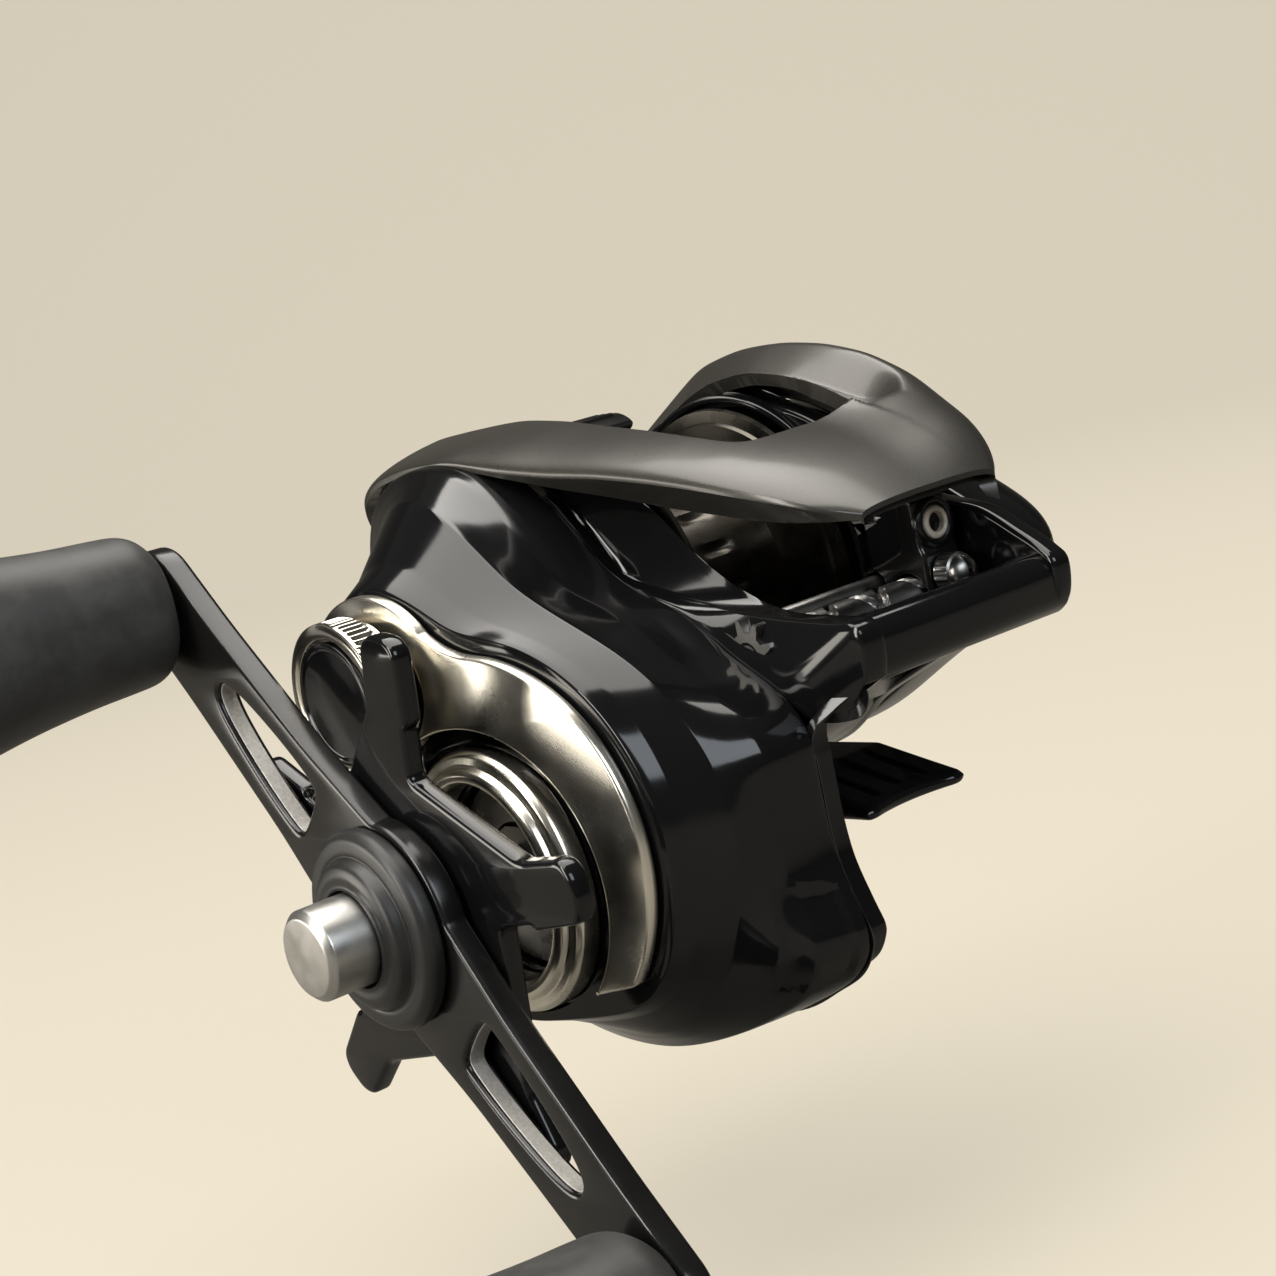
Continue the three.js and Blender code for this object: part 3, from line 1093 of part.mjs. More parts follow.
add('guide_ring', aboutY([
  [eyeBack, ringIn + 0.3], [eyeBack, ringOut], [eyeFront + 0.2, ringOut], [eyeFront + 0.4, ringOut - 0.3],
  [eyeFront + 0.2, ringIn + 0.2], [eyeFront - 0.4, ringIn], [eyeBack + 0.5, ringIn],
], eye, 24), 'ceramic');
const pawlBack = carriageFront + 0.2;
const pawlFront = pawlBack + 3.2;
const crossSlot = (half, tall) =>
  box([guideRest - half, guideRest + half], [pawlFront - 0.5, pawlFront + 1],
    [pawlZ - tall, pawlZ + tall]);
add('pawl_cap', cut(
  aboutY([
    [pawlBack, 0], [pawlBack, 1.9], [pawlFront - 1.2, 1.9], [pawlFront - 0.3, 1.5], [pawlFront, 0.9],
    [pawlFront, 0],
  ], [guideRest, pawlZ], 16),
  crossSlot(0.2, 0.8), crossSlot(0.8, 0.2),
), 'steel');
export default reel;
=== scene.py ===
import json
import math

import bmesh
import bpy
import numpy as np
from mathutils import Matrix, Vector
from mathutils.geometry import tessellate_polygon


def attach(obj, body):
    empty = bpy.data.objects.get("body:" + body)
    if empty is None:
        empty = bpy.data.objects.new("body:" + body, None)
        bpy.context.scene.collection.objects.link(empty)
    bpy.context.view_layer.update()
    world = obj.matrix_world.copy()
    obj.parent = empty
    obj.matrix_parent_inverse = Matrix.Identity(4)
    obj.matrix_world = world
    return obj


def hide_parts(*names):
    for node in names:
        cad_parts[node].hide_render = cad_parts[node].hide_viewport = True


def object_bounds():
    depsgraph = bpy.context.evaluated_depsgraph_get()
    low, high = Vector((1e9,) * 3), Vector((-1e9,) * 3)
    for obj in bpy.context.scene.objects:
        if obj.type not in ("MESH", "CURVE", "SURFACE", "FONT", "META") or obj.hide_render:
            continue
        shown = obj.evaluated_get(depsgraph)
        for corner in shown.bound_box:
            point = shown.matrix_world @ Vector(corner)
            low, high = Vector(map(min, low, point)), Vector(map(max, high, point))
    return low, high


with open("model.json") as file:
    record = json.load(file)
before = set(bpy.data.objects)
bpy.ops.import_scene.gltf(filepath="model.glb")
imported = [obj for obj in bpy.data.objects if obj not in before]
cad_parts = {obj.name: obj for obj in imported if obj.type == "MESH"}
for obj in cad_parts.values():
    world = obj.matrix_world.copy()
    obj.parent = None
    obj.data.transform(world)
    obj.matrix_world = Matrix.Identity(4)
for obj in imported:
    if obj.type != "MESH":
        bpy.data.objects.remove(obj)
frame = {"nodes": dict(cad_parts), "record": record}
cadLow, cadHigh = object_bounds()
print("stage: frame loaded,", len(frame["nodes"]), "nodes")

mm = 0.001                      # pieces are worked out in millimetres

# axes of the reel, as (y, z) of lines along x
spoolAxis = np.array([0.0, 21.5])
driveAxis = np.array([9.0, 2.5])
wormAxis = np.array([28.6, 18.2])
faceSlope = 0.14                # the gear side's face falls back by this much x for each y
faceDepth = 34.9                # x of that face where y is 0
wallOuter = 13.3                # outside of the frame's side walls

fineSteps = 2880                # points on a curve that is only read, not built
mergeWithin = 2e-7              # metres; points this close are one


def fromSpool(*pairs):
    return [(a, b + spoolAxis[1]) for a, b in pairs]


def fromDrive(*pairs):
    return [(a + driveAxis[0], b + driveAxis[1]) for a, b in pairs]


# cubic B-spline: each stretch blends four neighbouring points, so the curve has no kinks
def spline(points, count, closed=True):
    p = np.asarray(points, float)
    if not closed:
        p = np.vstack([2 * p[:1] - p[1:2], p, 2 * p[-1:] - p[-2:-1]])
        stretches = len(p) - 3
        t = np.linspace(0, stretches, count)
        k = np.minimum(t.astype(int), stretches - 1)
    else:
        stretches = len(p)
        t = np.linspace(0, stretches, count, endpoint=False)
        k = t.astype(int)
    f = (t - k)[:, None]
    rows = [p[(k + i) % len(p)] for i in range(4)]
    weights = [(1 - f) ** 3, 3 * f ** 3 - 6 * f ** 2 + 4, -3 * f ** 3 + 3 * f ** 2 + 3 * f + 1, f ** 3]
    return sum(w * r for w, r in zip(weights, rows)) / 6


# points spaced evenly along a polyline
def evenly(points, count, closed=True):
    p = np.asarray(points, float)
    if closed:
        p = np.vstack([p, p[:1]])
    run = np.concatenate([[0], np.cumsum(np.linalg.norm(np.diff(p, axis=0), axis=1))])
    at = np.linspace(0, run[-1], count, endpoint=not closed)
    return np.stack([np.interp(at, run, p[:, k]) for k in range(p.shape[1])], axis=1)


# each corner of a polyline swapped for a short quadratic curve that starts `radius` before it
def eased(points, radius, steps, closed=True):
    p = np.asarray(points, float)
    before, after = np.roll(p, 1, axis=0), np.roll(p, -1, axis=0)
    toBefore = np.linalg.norm(before - p, axis=1)[:, None] + 1e-9
    toAfter = np.linalg.norm(after - p, axis=1)[:, None] + 1e-9
    start = p + (before - p) * np.minimum(radius / toBefore, 0.45)
    end = p + (after - p) * np.minimum(radius / toAfter, 0.45)
    if not closed:
        start[0] = end[0] = p[0]
        start[-1] = end[-1] = p[-1]
    t = np.linspace(0, 1, steps + 1)[None, :, None]
    curve = start[:, None] * (1 - t) ** 2 + 2 * p[:, None] * t * (1 - t) + end[:, None] * t ** 2
    made = curve.reshape(-1, p.shape[1])
    keep = np.concatenate([[True], np.linalg.norm(np.diff(made, axis=0), axis=1) > 1e-6])
    return made[keep]


# a closed outline with eased corners and evenly spaced points
def softOutline(points, radius, count):
    return evenly(eased(points, radius, 5), count)


# points on an arc about a centre, from one angle to another in degrees
def arc(centre, radius, start, stop, count):
    a = np.radians(np.linspace(start, stop, count))
    return np.stack([centre[0] + radius * np.cos(a), centre[1] + radius * np.sin(a)], axis=1)


def circle(centre, radius, sides):
    return arc(centre, radius, 0, 360, sides + 1)[:-1]


def area(loop):
    a, b = loop, np.roll(loop, -1, axis=0)
    return 0.5 * np.sum(a[:, 0] * b[:, 1] - b[:, 0] * a[:, 1])


# a closed loop moved towards its left by `by`, along the mean of its neighbours' normals
def moved(loop, by):
    along = np.roll(loop, -1, axis=0) - np.roll(loop, 1, axis=0)
    along /= np.linalg.norm(along, axis=1)[:, None] + 1e-12
    return loop + by * np.stack([-along[:, 1], along[:, 0]], axis=1)


# the angles at which a cover's outlines are read, the same for each of its rows
def stepAngles(count):
    return -np.pi + 2 * np.pi * (np.arange(count) + 0.5) / count


# Values known at points round a centre, read at equal steps of angle. Ripples are averaged out by
# a bell curve that is `soften` degrees wide.
def readRound(offsets, values, count, soften):
    angle = np.arctan2(offsets[:, 1], offsets[:, 0])
    order = np.argsort(angle)
    read = np.interp(stepAngles(count), angle[order], values[order], period=2 * np.pi)
    spread = soften * count / 360
    bell = np.exp(-0.5 * (np.arange(-count // 2, count // 2) / spread) ** 2)
    bell = np.roll(bell / bell.sum(), count // 2)
    return np.real(np.fft.ifft(np.fft.fft(read) * np.fft.fft(bell)))


# distance from a centre to the smooth closed outline that the points steer
def reachOf(points, centre, count, soften):
    curve = spline(points, fineSteps) - np.asarray(centre)
    return readRound(curve, np.hypot(*curve.T), count, soften)


# a column of values smoothed by a bell curve of the given width in samples
def softened(values, width):
    reach = int(3 * width) + 1
    kernel = np.exp(-0.5 * (np.arange(-reach, reach + 1) / width) ** 2)
    kernel /= kernel.sum()
    padded = np.concatenate([
        2 * values[0] - values[reach:0:-1], values, 2 * values[-1] - values[-2:-reach - 2:-1]])
    return np.convolve(padded, kernel, mode="valid")


# A surface is (points, faces), with points in millimetres. Rows of equal length make a grid.
def gridFaces(rows, columns, wrap=True, start=0):
    r, c = np.meshgrid(np.arange(rows - 1), np.arange(columns if wrap else columns - 1), indexing="ij")
    low, high, n = r * columns, (r + 1) * columns, (c + 1) % columns
    quads = np.stack([low + c, low + n, high + n, high + c], axis=-1)
    return (quads.reshape(-1, 4) + start).tolist()


def gridSurface(rows, wrap=True, capped=False):
    rows = np.asarray(rows, float)
    count, columns = rows.shape[:2]
    faces = gridFaces(count, columns, wrap)
    if capped:
        faces += [list(range(columns))[::-1], [(count - 1) * columns + i for i in range(columns)]]
    return rows.reshape(-1, 3), faces


# a grid whose last row joins its first
def closedGrid(rows):
    points, faces = gridSurface(rows)
    n = rows.shape[1]
    last = len(points) - n
    return points, faces + [[last + i, last + (i + 1) % n, (i + 1) % n, i] for i in range(n)]


def together(*surfaces):
    points, faces, offset = [], [], 0
    for p, f in surfaces:
        points.append(p)
        faces.extend([[i + offset for i in face] for face in f])
        offset += len(p)
    return np.vstack(points), faces


# Rows of points with the row at each corner swapped for a short curve. `share` says how far that
# curve reaches towards the neighbouring rows: near 0 it is a crisp edge, at 0.5 one smooth sweep.
def easedRows(rows, shares, steps=6):
    made = [rows[0]]
    for before, row, after, share in zip(rows, rows[1:], rows[2:], shares):
        start = row + (before - row) * share
        end = row + (after - row) * share
        for t in np.linspace(0, 1, steps + 1):
            made.append(start * (1 - t) ** 2 + 2 * row * t * (1 - t) + end * t ** 2)
    return np.array(made + [rows[-1]])


# points at a reach from a line along x, at each of the given angles
def rowAround(axis, reach, x, angle):
    y, z = axis[0] + reach * np.cos(angle), axis[1] + reach * np.sin(angle)
    return np.stack(np.broadcast_arrays(x, y, z), axis=-1)


# rows of a profile of (x, radius) pairs carried round a line; `ripple` changes the radius with angle
def latheRows(profile, axis, sides, ripple):
    x, radius = np.asarray(profile, float).T[..., None]
    angle = np.linspace(0, 2 * np.pi, sides, endpoint=False)
    if ripple:
        radius = radius + ripple(x, angle)
    return rowAround(axis, radius, x, angle)


def latheSurface(profile, axis, sides, ripple=None):
    return gridSurface(latheRows(profile, axis, sides, ripple), capped=True)


# the same for a closed profile, which makes a ring
def ringSurface(profile, axis, sides, ripple=None):
    return closedGrid(latheRows(profile, axis, sides, ripple))


# both again, with the profile's corners eased
def turned(profile, radius, steps, axis, sides):
    return latheSurface(eased(profile, radius, steps, closed=False), axis, sides)


def turnedRing(profile, radius, steps, axis, sides):
    return ringSurface(eased(profile, radius, steps), axis, sides)


# A plate with rounded edges. Its loops are (y, z), the first one outside and the rest holes.
# Round each loop the wall turns into the faces through a quarter circle of radius `edge`.
def plateSurface(loops, x0, x1, edge, steps=4, slope=0.0):
    points, faces, offset = [], [], 0
    fronts, backs = [], []
    turn = np.linspace(0, np.pi / 2, steps + 1)
    depths = np.concatenate([x0 + edge * (1 - np.cos(turn)), x1 - edge * (1 - np.cos(turn[::-1]))])
    insets = np.concatenate([edge * (1 - np.sin(turn)), edge * (1 - np.sin(turn[::-1]))])
    for k, loop in enumerate(loops):
        loop = np.asarray(loop, float)
        if (area(loop) > 0) != (k == 0):
            loop = loop[::-1]
        rings = []
        for x, inset in zip(depths, insets):
            at = moved(loop, inset)
            rings.append(np.column_stack([x - slope * at[:, 0], at]))
        n = len(loop)
        points.append(np.concatenate(rings))
        faces += gridFaces(len(rings), n, True, offset)
        backs.append((rings[0][:, 1:], offset))
        fronts.append((rings[-1][:, 1:], offset + (len(rings) - 1) * n))
        offset += len(rings) * n
    for flats in (backs, fronts):
        index = np.concatenate([np.arange(len(p)) + start for p, start in flats])
        outlines = [[Vector((a, b, 0)) for a, b in p] for p, _ in flats]
        faces += [[int(index[i]) for i in tri] for tri in tessellate_polygon(outlines)]
    return np.concatenate(points), faces


# a surface made about a line along x, turned to lie about a line along y through (x, z)
def facingForward(surface, axis):
    points, faces = surface
    return np.stack([axis[0] + points[:, 1], points[:, 0], axis[1] + points[:, 2]], axis=1), faces


def shade(mesh, crease):
    mesh.polygons.foreach_set("use_smooth", np.ones(len(mesh.polygons), bool))
    mesh.set_sharp_from_angle(angle=math.radians(crease))
    mesh.update()


# The piece rides on a body and stands for one node, or for none. Its paint is its slot's finish
# unless another is given, and edges turning by more than `crease` degrees stay sharp.
def makePiece(name, surface, body, slot, stands=None, crease=40, paint=None):
    points, faces = surface
    mesh = bpy.data.meshes.new(name)
    mesh.from_pydata((np.asarray(points) * mm).tolist(), [], faces)
    mesh.validate()
    soup = bmesh.new()
    soup.from_mesh(mesh)
    bmesh.ops.remove_doubles(soup, verts=soup.verts, dist=mergeWithin)
    bmesh.ops.recalc_face_normals(soup, faces=soup.faces)
    soup.to_mesh(mesh)
    soup.free()
    piece = bpy.data.objects.new(name, mesh)
    bpy.context.scene.collection.objects.link(piece)
    mesh.materials.append(paint or finishes[slot])
    shade(mesh, crease)
    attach(piece, body)
    if stands:
        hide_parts(stands)
    return piece


# a piece's modifiers worked into its mesh
def settle(piece, crease):
    graph = bpy.context.evaluated_depsgraph_get()
    made = bpy.data.meshes.new_from_object(piece.evaluated_get(graph))
    piece.modifiers.clear()
    piece.data = made
    shade(made, crease)


# One shader socket, so that sums and products of sockets add their Math nodes.
class Tone:
    def __init__(self, paint, socket):
        self.paint, self.socket = paint, socket

    def maths(self, operation, other):
        return self.paint.node("ShaderNodeMath", {"operation": operation}, {0: self, 1: other})

    def __add__(self, other):
        return self.maths("ADD", other)

    def __mul__(self, other):
        return self.maths("MULTIPLY", other)

    __radd__ = __add__
    __rmul__ = __mul__


def opaque(tint):
    return (*tint, 1.0)


class Paint:
    def __init__(self, name, **fixed):
        self.material = bpy.data.materials.new(name)
        self.material.use_nodes = True
        self.tree = self.material.node_tree
        self.shader = self.tree.nodes["Principled BSDF"]
        for key, value in fixed.items():
            self.set(key, value)

    def feed(self, socket, value):
        if isinstance(value, Tone):
            self.tree.links.new(value.socket, socket)
        else:
            socket.default_value = value

    def node(self, kind, settings=None, inputs=None, output=0):
        made = self.tree.nodes.new(kind)
        for key, value in (settings or {}).items():
            setattr(made, key, value)
        for key, value in (inputs or {}).items():
            self.feed(made.inputs[key], value)
        return Tone(self, made.outputs[output])

    def set(self, socket, value):
        self.feed(self.shader.inputs[socket.replace("_", " ")], value)

    # object coordinates, moved to `centre` (mm) and stretched by `scale`
    def place(self, centre=(0, 0, 0), scale=(1, 1, 1)):
        coords = self.node("ShaderNodeTexCoord", output="Object")
        shift = tuple(-c * mm * s for c, s in zip(centre, scale))
        return self.node("ShaderNodeMapping", None, {"Vector": coords, "Location": shift, "Scale": scale})

    # soft noise from 0 to 1 whose grain is about `size` millimetres
    def noise(self, size, detail, where=None, rough=0.55):
        return self.node("ShaderNodeTexNoise", {"noise_dimensions": "3D"}, {
            "Vector": where or self.place(), "Scale": 1 / (size * mm), "Detail": detail, "Roughness": rough})

    # a value carried from one range to another
    def spread(self, value, low, high, newLow, newHigh):
        return self.node("ShaderNodeMapRange", None, {
            "Value": value, "From Min": low, "From Max": high, "To Min": newLow, "To Max": newHigh})

    def blend(self, factor, first, second):
        first, second = (v if isinstance(v, Tone) else opaque(v) for v in (first, second))
        return self.node("ShaderNodeMix", {"data_type": "RGBA"}, {0: factor, 6: first, 7: second}, 2)

    def tint(self, factor, first, second):
        self.set("Base Color", self.blend(factor, first, second))

    # roughness that follows the middle of a pattern's range
    def wear(self, pattern, high, rough, rougher):
        self.set("Roughness", self.spread(pattern, 0.3, high, rough, rougher))

    def bump(self, height, depth, strength):
        self.set("Normal", self.node("ShaderNodeBump", None, {
            "Height": height, "Distance": depth * mm, "Strength": strength}))


def scaled(by, tint):
    return tuple(by * c for c in tint)


# poured gloss lacquer: deep black, faint smudges in the roughness and a very slight ripple
def glossBlackPaint():
    base, rough = (0.0035, 0.0035, 0.0038), 0.07
    paint = Paint("glossBlack", Specular_IOR_Level=0.4)
    smudge = paint.noise(9, 4.0)
    paint.tint(smudge, base, scaled(1.5, base))
    paint.wear(smudge, 0.75, rough, rough + 0.07)
    paint.bump(paint.noise(3.5, 2.0), 0.004, 0.35)
    return paint.material


# satin metallic paint with fine flake, as on the top cover
def satinGreyPaint():
    paint = Paint("satinGrey", Metallic=0.5, Coat_Weight=0.3, Coat_Roughness=0.12)
    flake, cloud = paint.noise(0.16, 2.0), paint.noise(14, 3.0)
    flaked = paint.blend(flake, (0.03, 0.028, 0.0245), (0.06, 0.0565, 0.05))
    paint.tint(paint.spread(cloud, 0.35, 0.7, 0, 0.35), flaked, (0.04, 0.0375, 0.033))
    paint.wear(flake, 0.7, 0.27, 0.38)
    paint.bump(flake, 0.006, 0.25)
    return paint.material


# anodised aluminium, bead blasted: satin black with a fine grain
def satinBlackPaint(name, base, rough):
    paint = Paint(name, Metallic=0.1, Specular_IOR_Level=0.5)
    grain, cloud = paint.noise(0.12, 2.0), paint.noise(7, 3.0)
    paint.tint(grain, scaled(0.75, base), scaled(1.5, base))
    paint.wear(cloud, 0.7, rough, rough + 0.1)
    paint.bump(grain, 0.005, 0.25)
    return paint.material


# polished and tinted plating: warm silver, with faint lines round the given axis
def silverPaint(name, base, rough, axis):
    paint = Paint(name, Metallic=1.0)
    where = paint.place((0, axis[0], axis[1]))
    across, up = (paint.node("ShaderNodeSeparateXYZ", None, {"Vector": where}, k) for k in "YZ")
    radius = paint.node("ShaderNodeMath", {"operation": "SQRT"}, {0: across * across + up * up})
    lines = paint.node("ShaderNodeTexNoise", {"noise_dimensions": "1D"}, {
        "W": radius, "Scale": 1 / (0.12 * mm), "Detail": 2.0})
    cloud = paint.noise(6, 4.0)
    paint.tint(paint.spread(cloud, 0.35, 0.7, 0, 1), base, scaled(0.86, base))
    paint.wear(cloud, 0.75, rough, rough + 0.1)
    paint.bump(lines, 0.0012, 0.2)
    return paint.material


# turned metal: fine tool marks round the piece's own axis, seen as lines at right angles to x
def turnedPaint(name, base, rough, grain=0.09, depth=0.003, tarnish=0.75):
    paint = Paint(name, Metallic=1.0)
    marks = paint.noise(1, 3.0, paint.place(scale=(1 / grain, 0.35, 0.35)))
    cloud = paint.noise(2.5, 4.0)
    paint.tint(cloud, base, scaled(tarnish, base))
    paint.wear(cloud, 0.7, rough, rough + 0.12)
    paint.bump(marks, depth, 0.4)
    return paint.material


# moulded rubber: matte, a fine stipple, and pale rubbed patches
def rubberPaint():
    paint = Paint("rubber", Specular_IOR_Level=0.42)
    stipple = paint.noise(0.3, 3.0)
    rubbed = paint.noise(5, 5.0, rough=0.65)
    scratch = paint.noise(2.2, 6.0, paint.place(scale=(0.22, 1.0, 1.6)))
    worn = paint.blend(paint.spread(rubbed, 0.4, 0.75, 0, 1), (0.03, 0.0292, 0.0275), (0.056, 0.0545, 0.051))
    paint.tint(paint.spread(scratch, 0.68, 0.74, 0, 0.35), worn, (0.12, 0.117, 0.108))
    paint.wear(rubbed, 0.75, 0.42, 0.55)
    paint.bump(stipple, 0.02, 0.35)
    return paint.material


# one grain between two tints, which may also set the roughness and a bump
def grainPaint(name, size, detail, tints, rough=None, bump=None, **fixed):
    paint = Paint(name, **fixed)
    grain = paint.noise(size, detail)
    paint.tint(grain, *tints)
    if rough:
        paint.wear(grain, 0.7, *rough)
    if bump:
        paint.bump(grain, *bump)
    return paint.material


finishes = {
    "gloss_black": glossBlackPaint(),
    "satin_grey": satinGreyPaint(),
    "satin_black": satinBlackPaint("satinBlack", (0.006, 0.0058, 0.0057), 0.16),
    "silver": silverPaint("silver", (0.9, 0.86, 0.76), 0.2, driveAxis),
    "brushed": turnedPaint("brushedSteel", (0.5, 0.49, 0.465), 0.3, 0.12, 0.004, 0.9),
    "aluminium": turnedPaint("anodisedAluminium", (0.44, 0.425, 0.395), 0.2),
    "brass": turnedPaint("brass", (0.62, 0.44, 0.18), 0.2),
    "steel": turnedPaint("groundSteel", (0.3, 0.295, 0.285), 0.25),
    "rubber": rubberPaint(),
    # glazed ring of the line guide
    "ceramic": grainPaint("ceramic", 0.8, 2.0, [(0.62, 0.55, 0.45), (0.78, 0.71, 0.6)], rough=(0.14, 0.24),
                          Coat_Weight=0.5, Coat_Roughness=0.05),
    # pressed fibre of the drag washer
    "felt": grainPaint("felt", 0.4, 5.0, [(0.05, 0.038, 0.03), (0.11, 0.085, 0.065)], bump=(0.05, 0.5),
                       Roughness=0.9),
}
for part in frame["record"]["subparts"]:
    mesh = frame["nodes"][part["node"]].data
    mesh.materials.clear()
    mesh.materials.append(finishes[part["material_slot"]])
print("stage: finishes on every node")

# where the camera stands, how it is turned, and its lens and film width
shot = {
    "place": (156.85, 205.36, 55.02),           # millimetres
    "right": (-0.7649, 0.6037, -0.2248),
    "up": (-0.2655, 0.0224, 0.9638),
    "lens": 72.11, "film": 36,
}
right = Vector(shot["right"]).normalized()
up = (Vector(shot["up"]) - right * right.dot(Vector(shot["up"]))).normalized()
eye = bpy.data.cameras.new("camera")
eye.lens, eye.sensor_width = shot["lens"], shot["film"]
camera = bpy.data.objects.new("camera", eye)
bpy.context.scene.collection.objects.link(camera)
turn = Matrix((right, up, right.cross(up))).transposed()
camera.matrix_world = Matrix.Translation(Vector(shot["place"]) * mm) @ turn.to_4x4()
bpy.context.scene.camera = camera

studio = {
    "floorDrop": 1.0,                           # below the lowest point, mm
    "reach": 900.0,                             # half width of the floor
    "backdrop": 700.0,                          # how far behind the reel the floor turns up
    "bend": 320.0,
    "height": 900.0,
    "seen": (0.59, 0.54, 0.435),                # glow that the camera sees
    "lit": (0.14, 0.125, 0.10),                 # colour that the lamps add to
    "sky": (0.66, 0.60, 0.48),                  # the room above the backdrop, as the camera sees it
    "mirrored": (0.17, 0.16, 0.14),             # what the lacquer reflects of the floor
    "air": (0.066, 0.062, 0.055),               # what it reflects of the room
}


# the floor's side view: flat, then a quarter circle, then up; swept sideways
def makeBackdrop():
    floorZ = cadLow.z / mm - studio["floorDrop"]
    turnUp = np.linspace(0, np.pi / 2, 24)
    away = np.concatenate([[-studio["reach"]], studio["backdrop"] + studio["bend"] * np.sin(turnUp),
                           [studio["backdrop"] + studio["bend"]]])
    height = np.concatenate([[0], studio["bend"] * (1 - np.cos(turnUp)), [studio["height"]]])
    back = Vector((right.y, -right.x, 0)).normalized()      # level, away from the camera
    if back.dot(Vector(shot["place"])) > 0:
        back.negate()
    side = Vector((-back.y, back.x, 0))
    rows = [[back * a + side * across + Vector((0, 0, floorZ + h)) for a, h in zip(away, height)]
            for across in np.linspace(-1.6 * studio["reach"], 1.6 * studio["reach"], 9)]
    points, faces = gridSurface(rows, wrap=False)
    mesh = bpy.data.meshes.new("backdrop")
    mesh.from_pydata((points * mm).tolist(), [], faces)
    mesh.polygons.foreach_set("use_smooth", np.ones(len(mesh.polygons), bool))
    paint = Paint("backdropPaint", Roughness=0.9, Specular_IOR_Level=0.0, Emission_Strength=1.0)
    seen = paint.node("ShaderNodeLightPath", output="Is Camera Ray")
    paint.tint(seen, studio["mirrored"], studio["lit"])
    paint.set("Emission Color", paint.blend(seen, (0, 0, 0), studio["seen"]))
    mesh.materials.append(paint.material)
    backdrop = bpy.data.objects.new("backdrop", mesh)
    bpy.context.scene.collection.objects.link(backdrop)


# the room's air: one colour where the camera sees it, and a darker one in reflections
def makeRoom():
    world = bpy.data.worlds.new("room")
    world.use_nodes = True
    air = world.node_tree
    seen, mixed = air.nodes.new("ShaderNodeLightPath"), air.nodes.new("ShaderNodeMix")
    mixed.data_type = "RGBA"
    mixed.inputs[6].default_value = opaque(studio["air"])
    mixed.inputs[7].default_value = opaque(studio["sky"])
    air.links.new(seen.outputs["Is Camera Ray"], mixed.inputs[0])
    air.links.new(mixed.outputs[2], air.nodes["Background"].inputs["Color"])
    bpy.context.scene.world = world


def addLamp(name, place, aim, size, watts, tint=(1.0, 0.97, 0.92)):
    data = bpy.data.lights.new(name, "AREA")
    data.shape = "RECTANGLE"
    data.size, data.size_y = size[0] * mm, size[1] * mm
    data.energy, data.color = watts, tint
    lamp = bpy.data.objects.new(name, data)
    lamp.location = Vector(place) * mm
    lamp.rotation_mode = "QUATERNION"
    lamp.rotation_quaternion = (Vector(aim) - Vector(place)).to_track_quat("-Z", "Y")
    bpy.context.scene.collection.objects.link(lamp)


makeBackdrop()
makeRoom()
bpy.context.scene.view_settings.view_transform = "Standard"
addLamp("ceiling", (20, -40, 620), (10, 10, 0), (900, 560), 9.0)
addLamp("stripSide", (460, 20, 230), (20, 0, 10), (110, 420), 2.0)
addLamp("sideCard", (560, -430, 30), (30, 5, 10), (360, 420), 3.8, (1.0, 0.95, 0.86))
addLamp("frontFill", (60, 520, 300), (0, 10, 10), (420, 240), 1.6, (0.86, 0.93, 1.0))
print("stage: camera, floor and lamps")

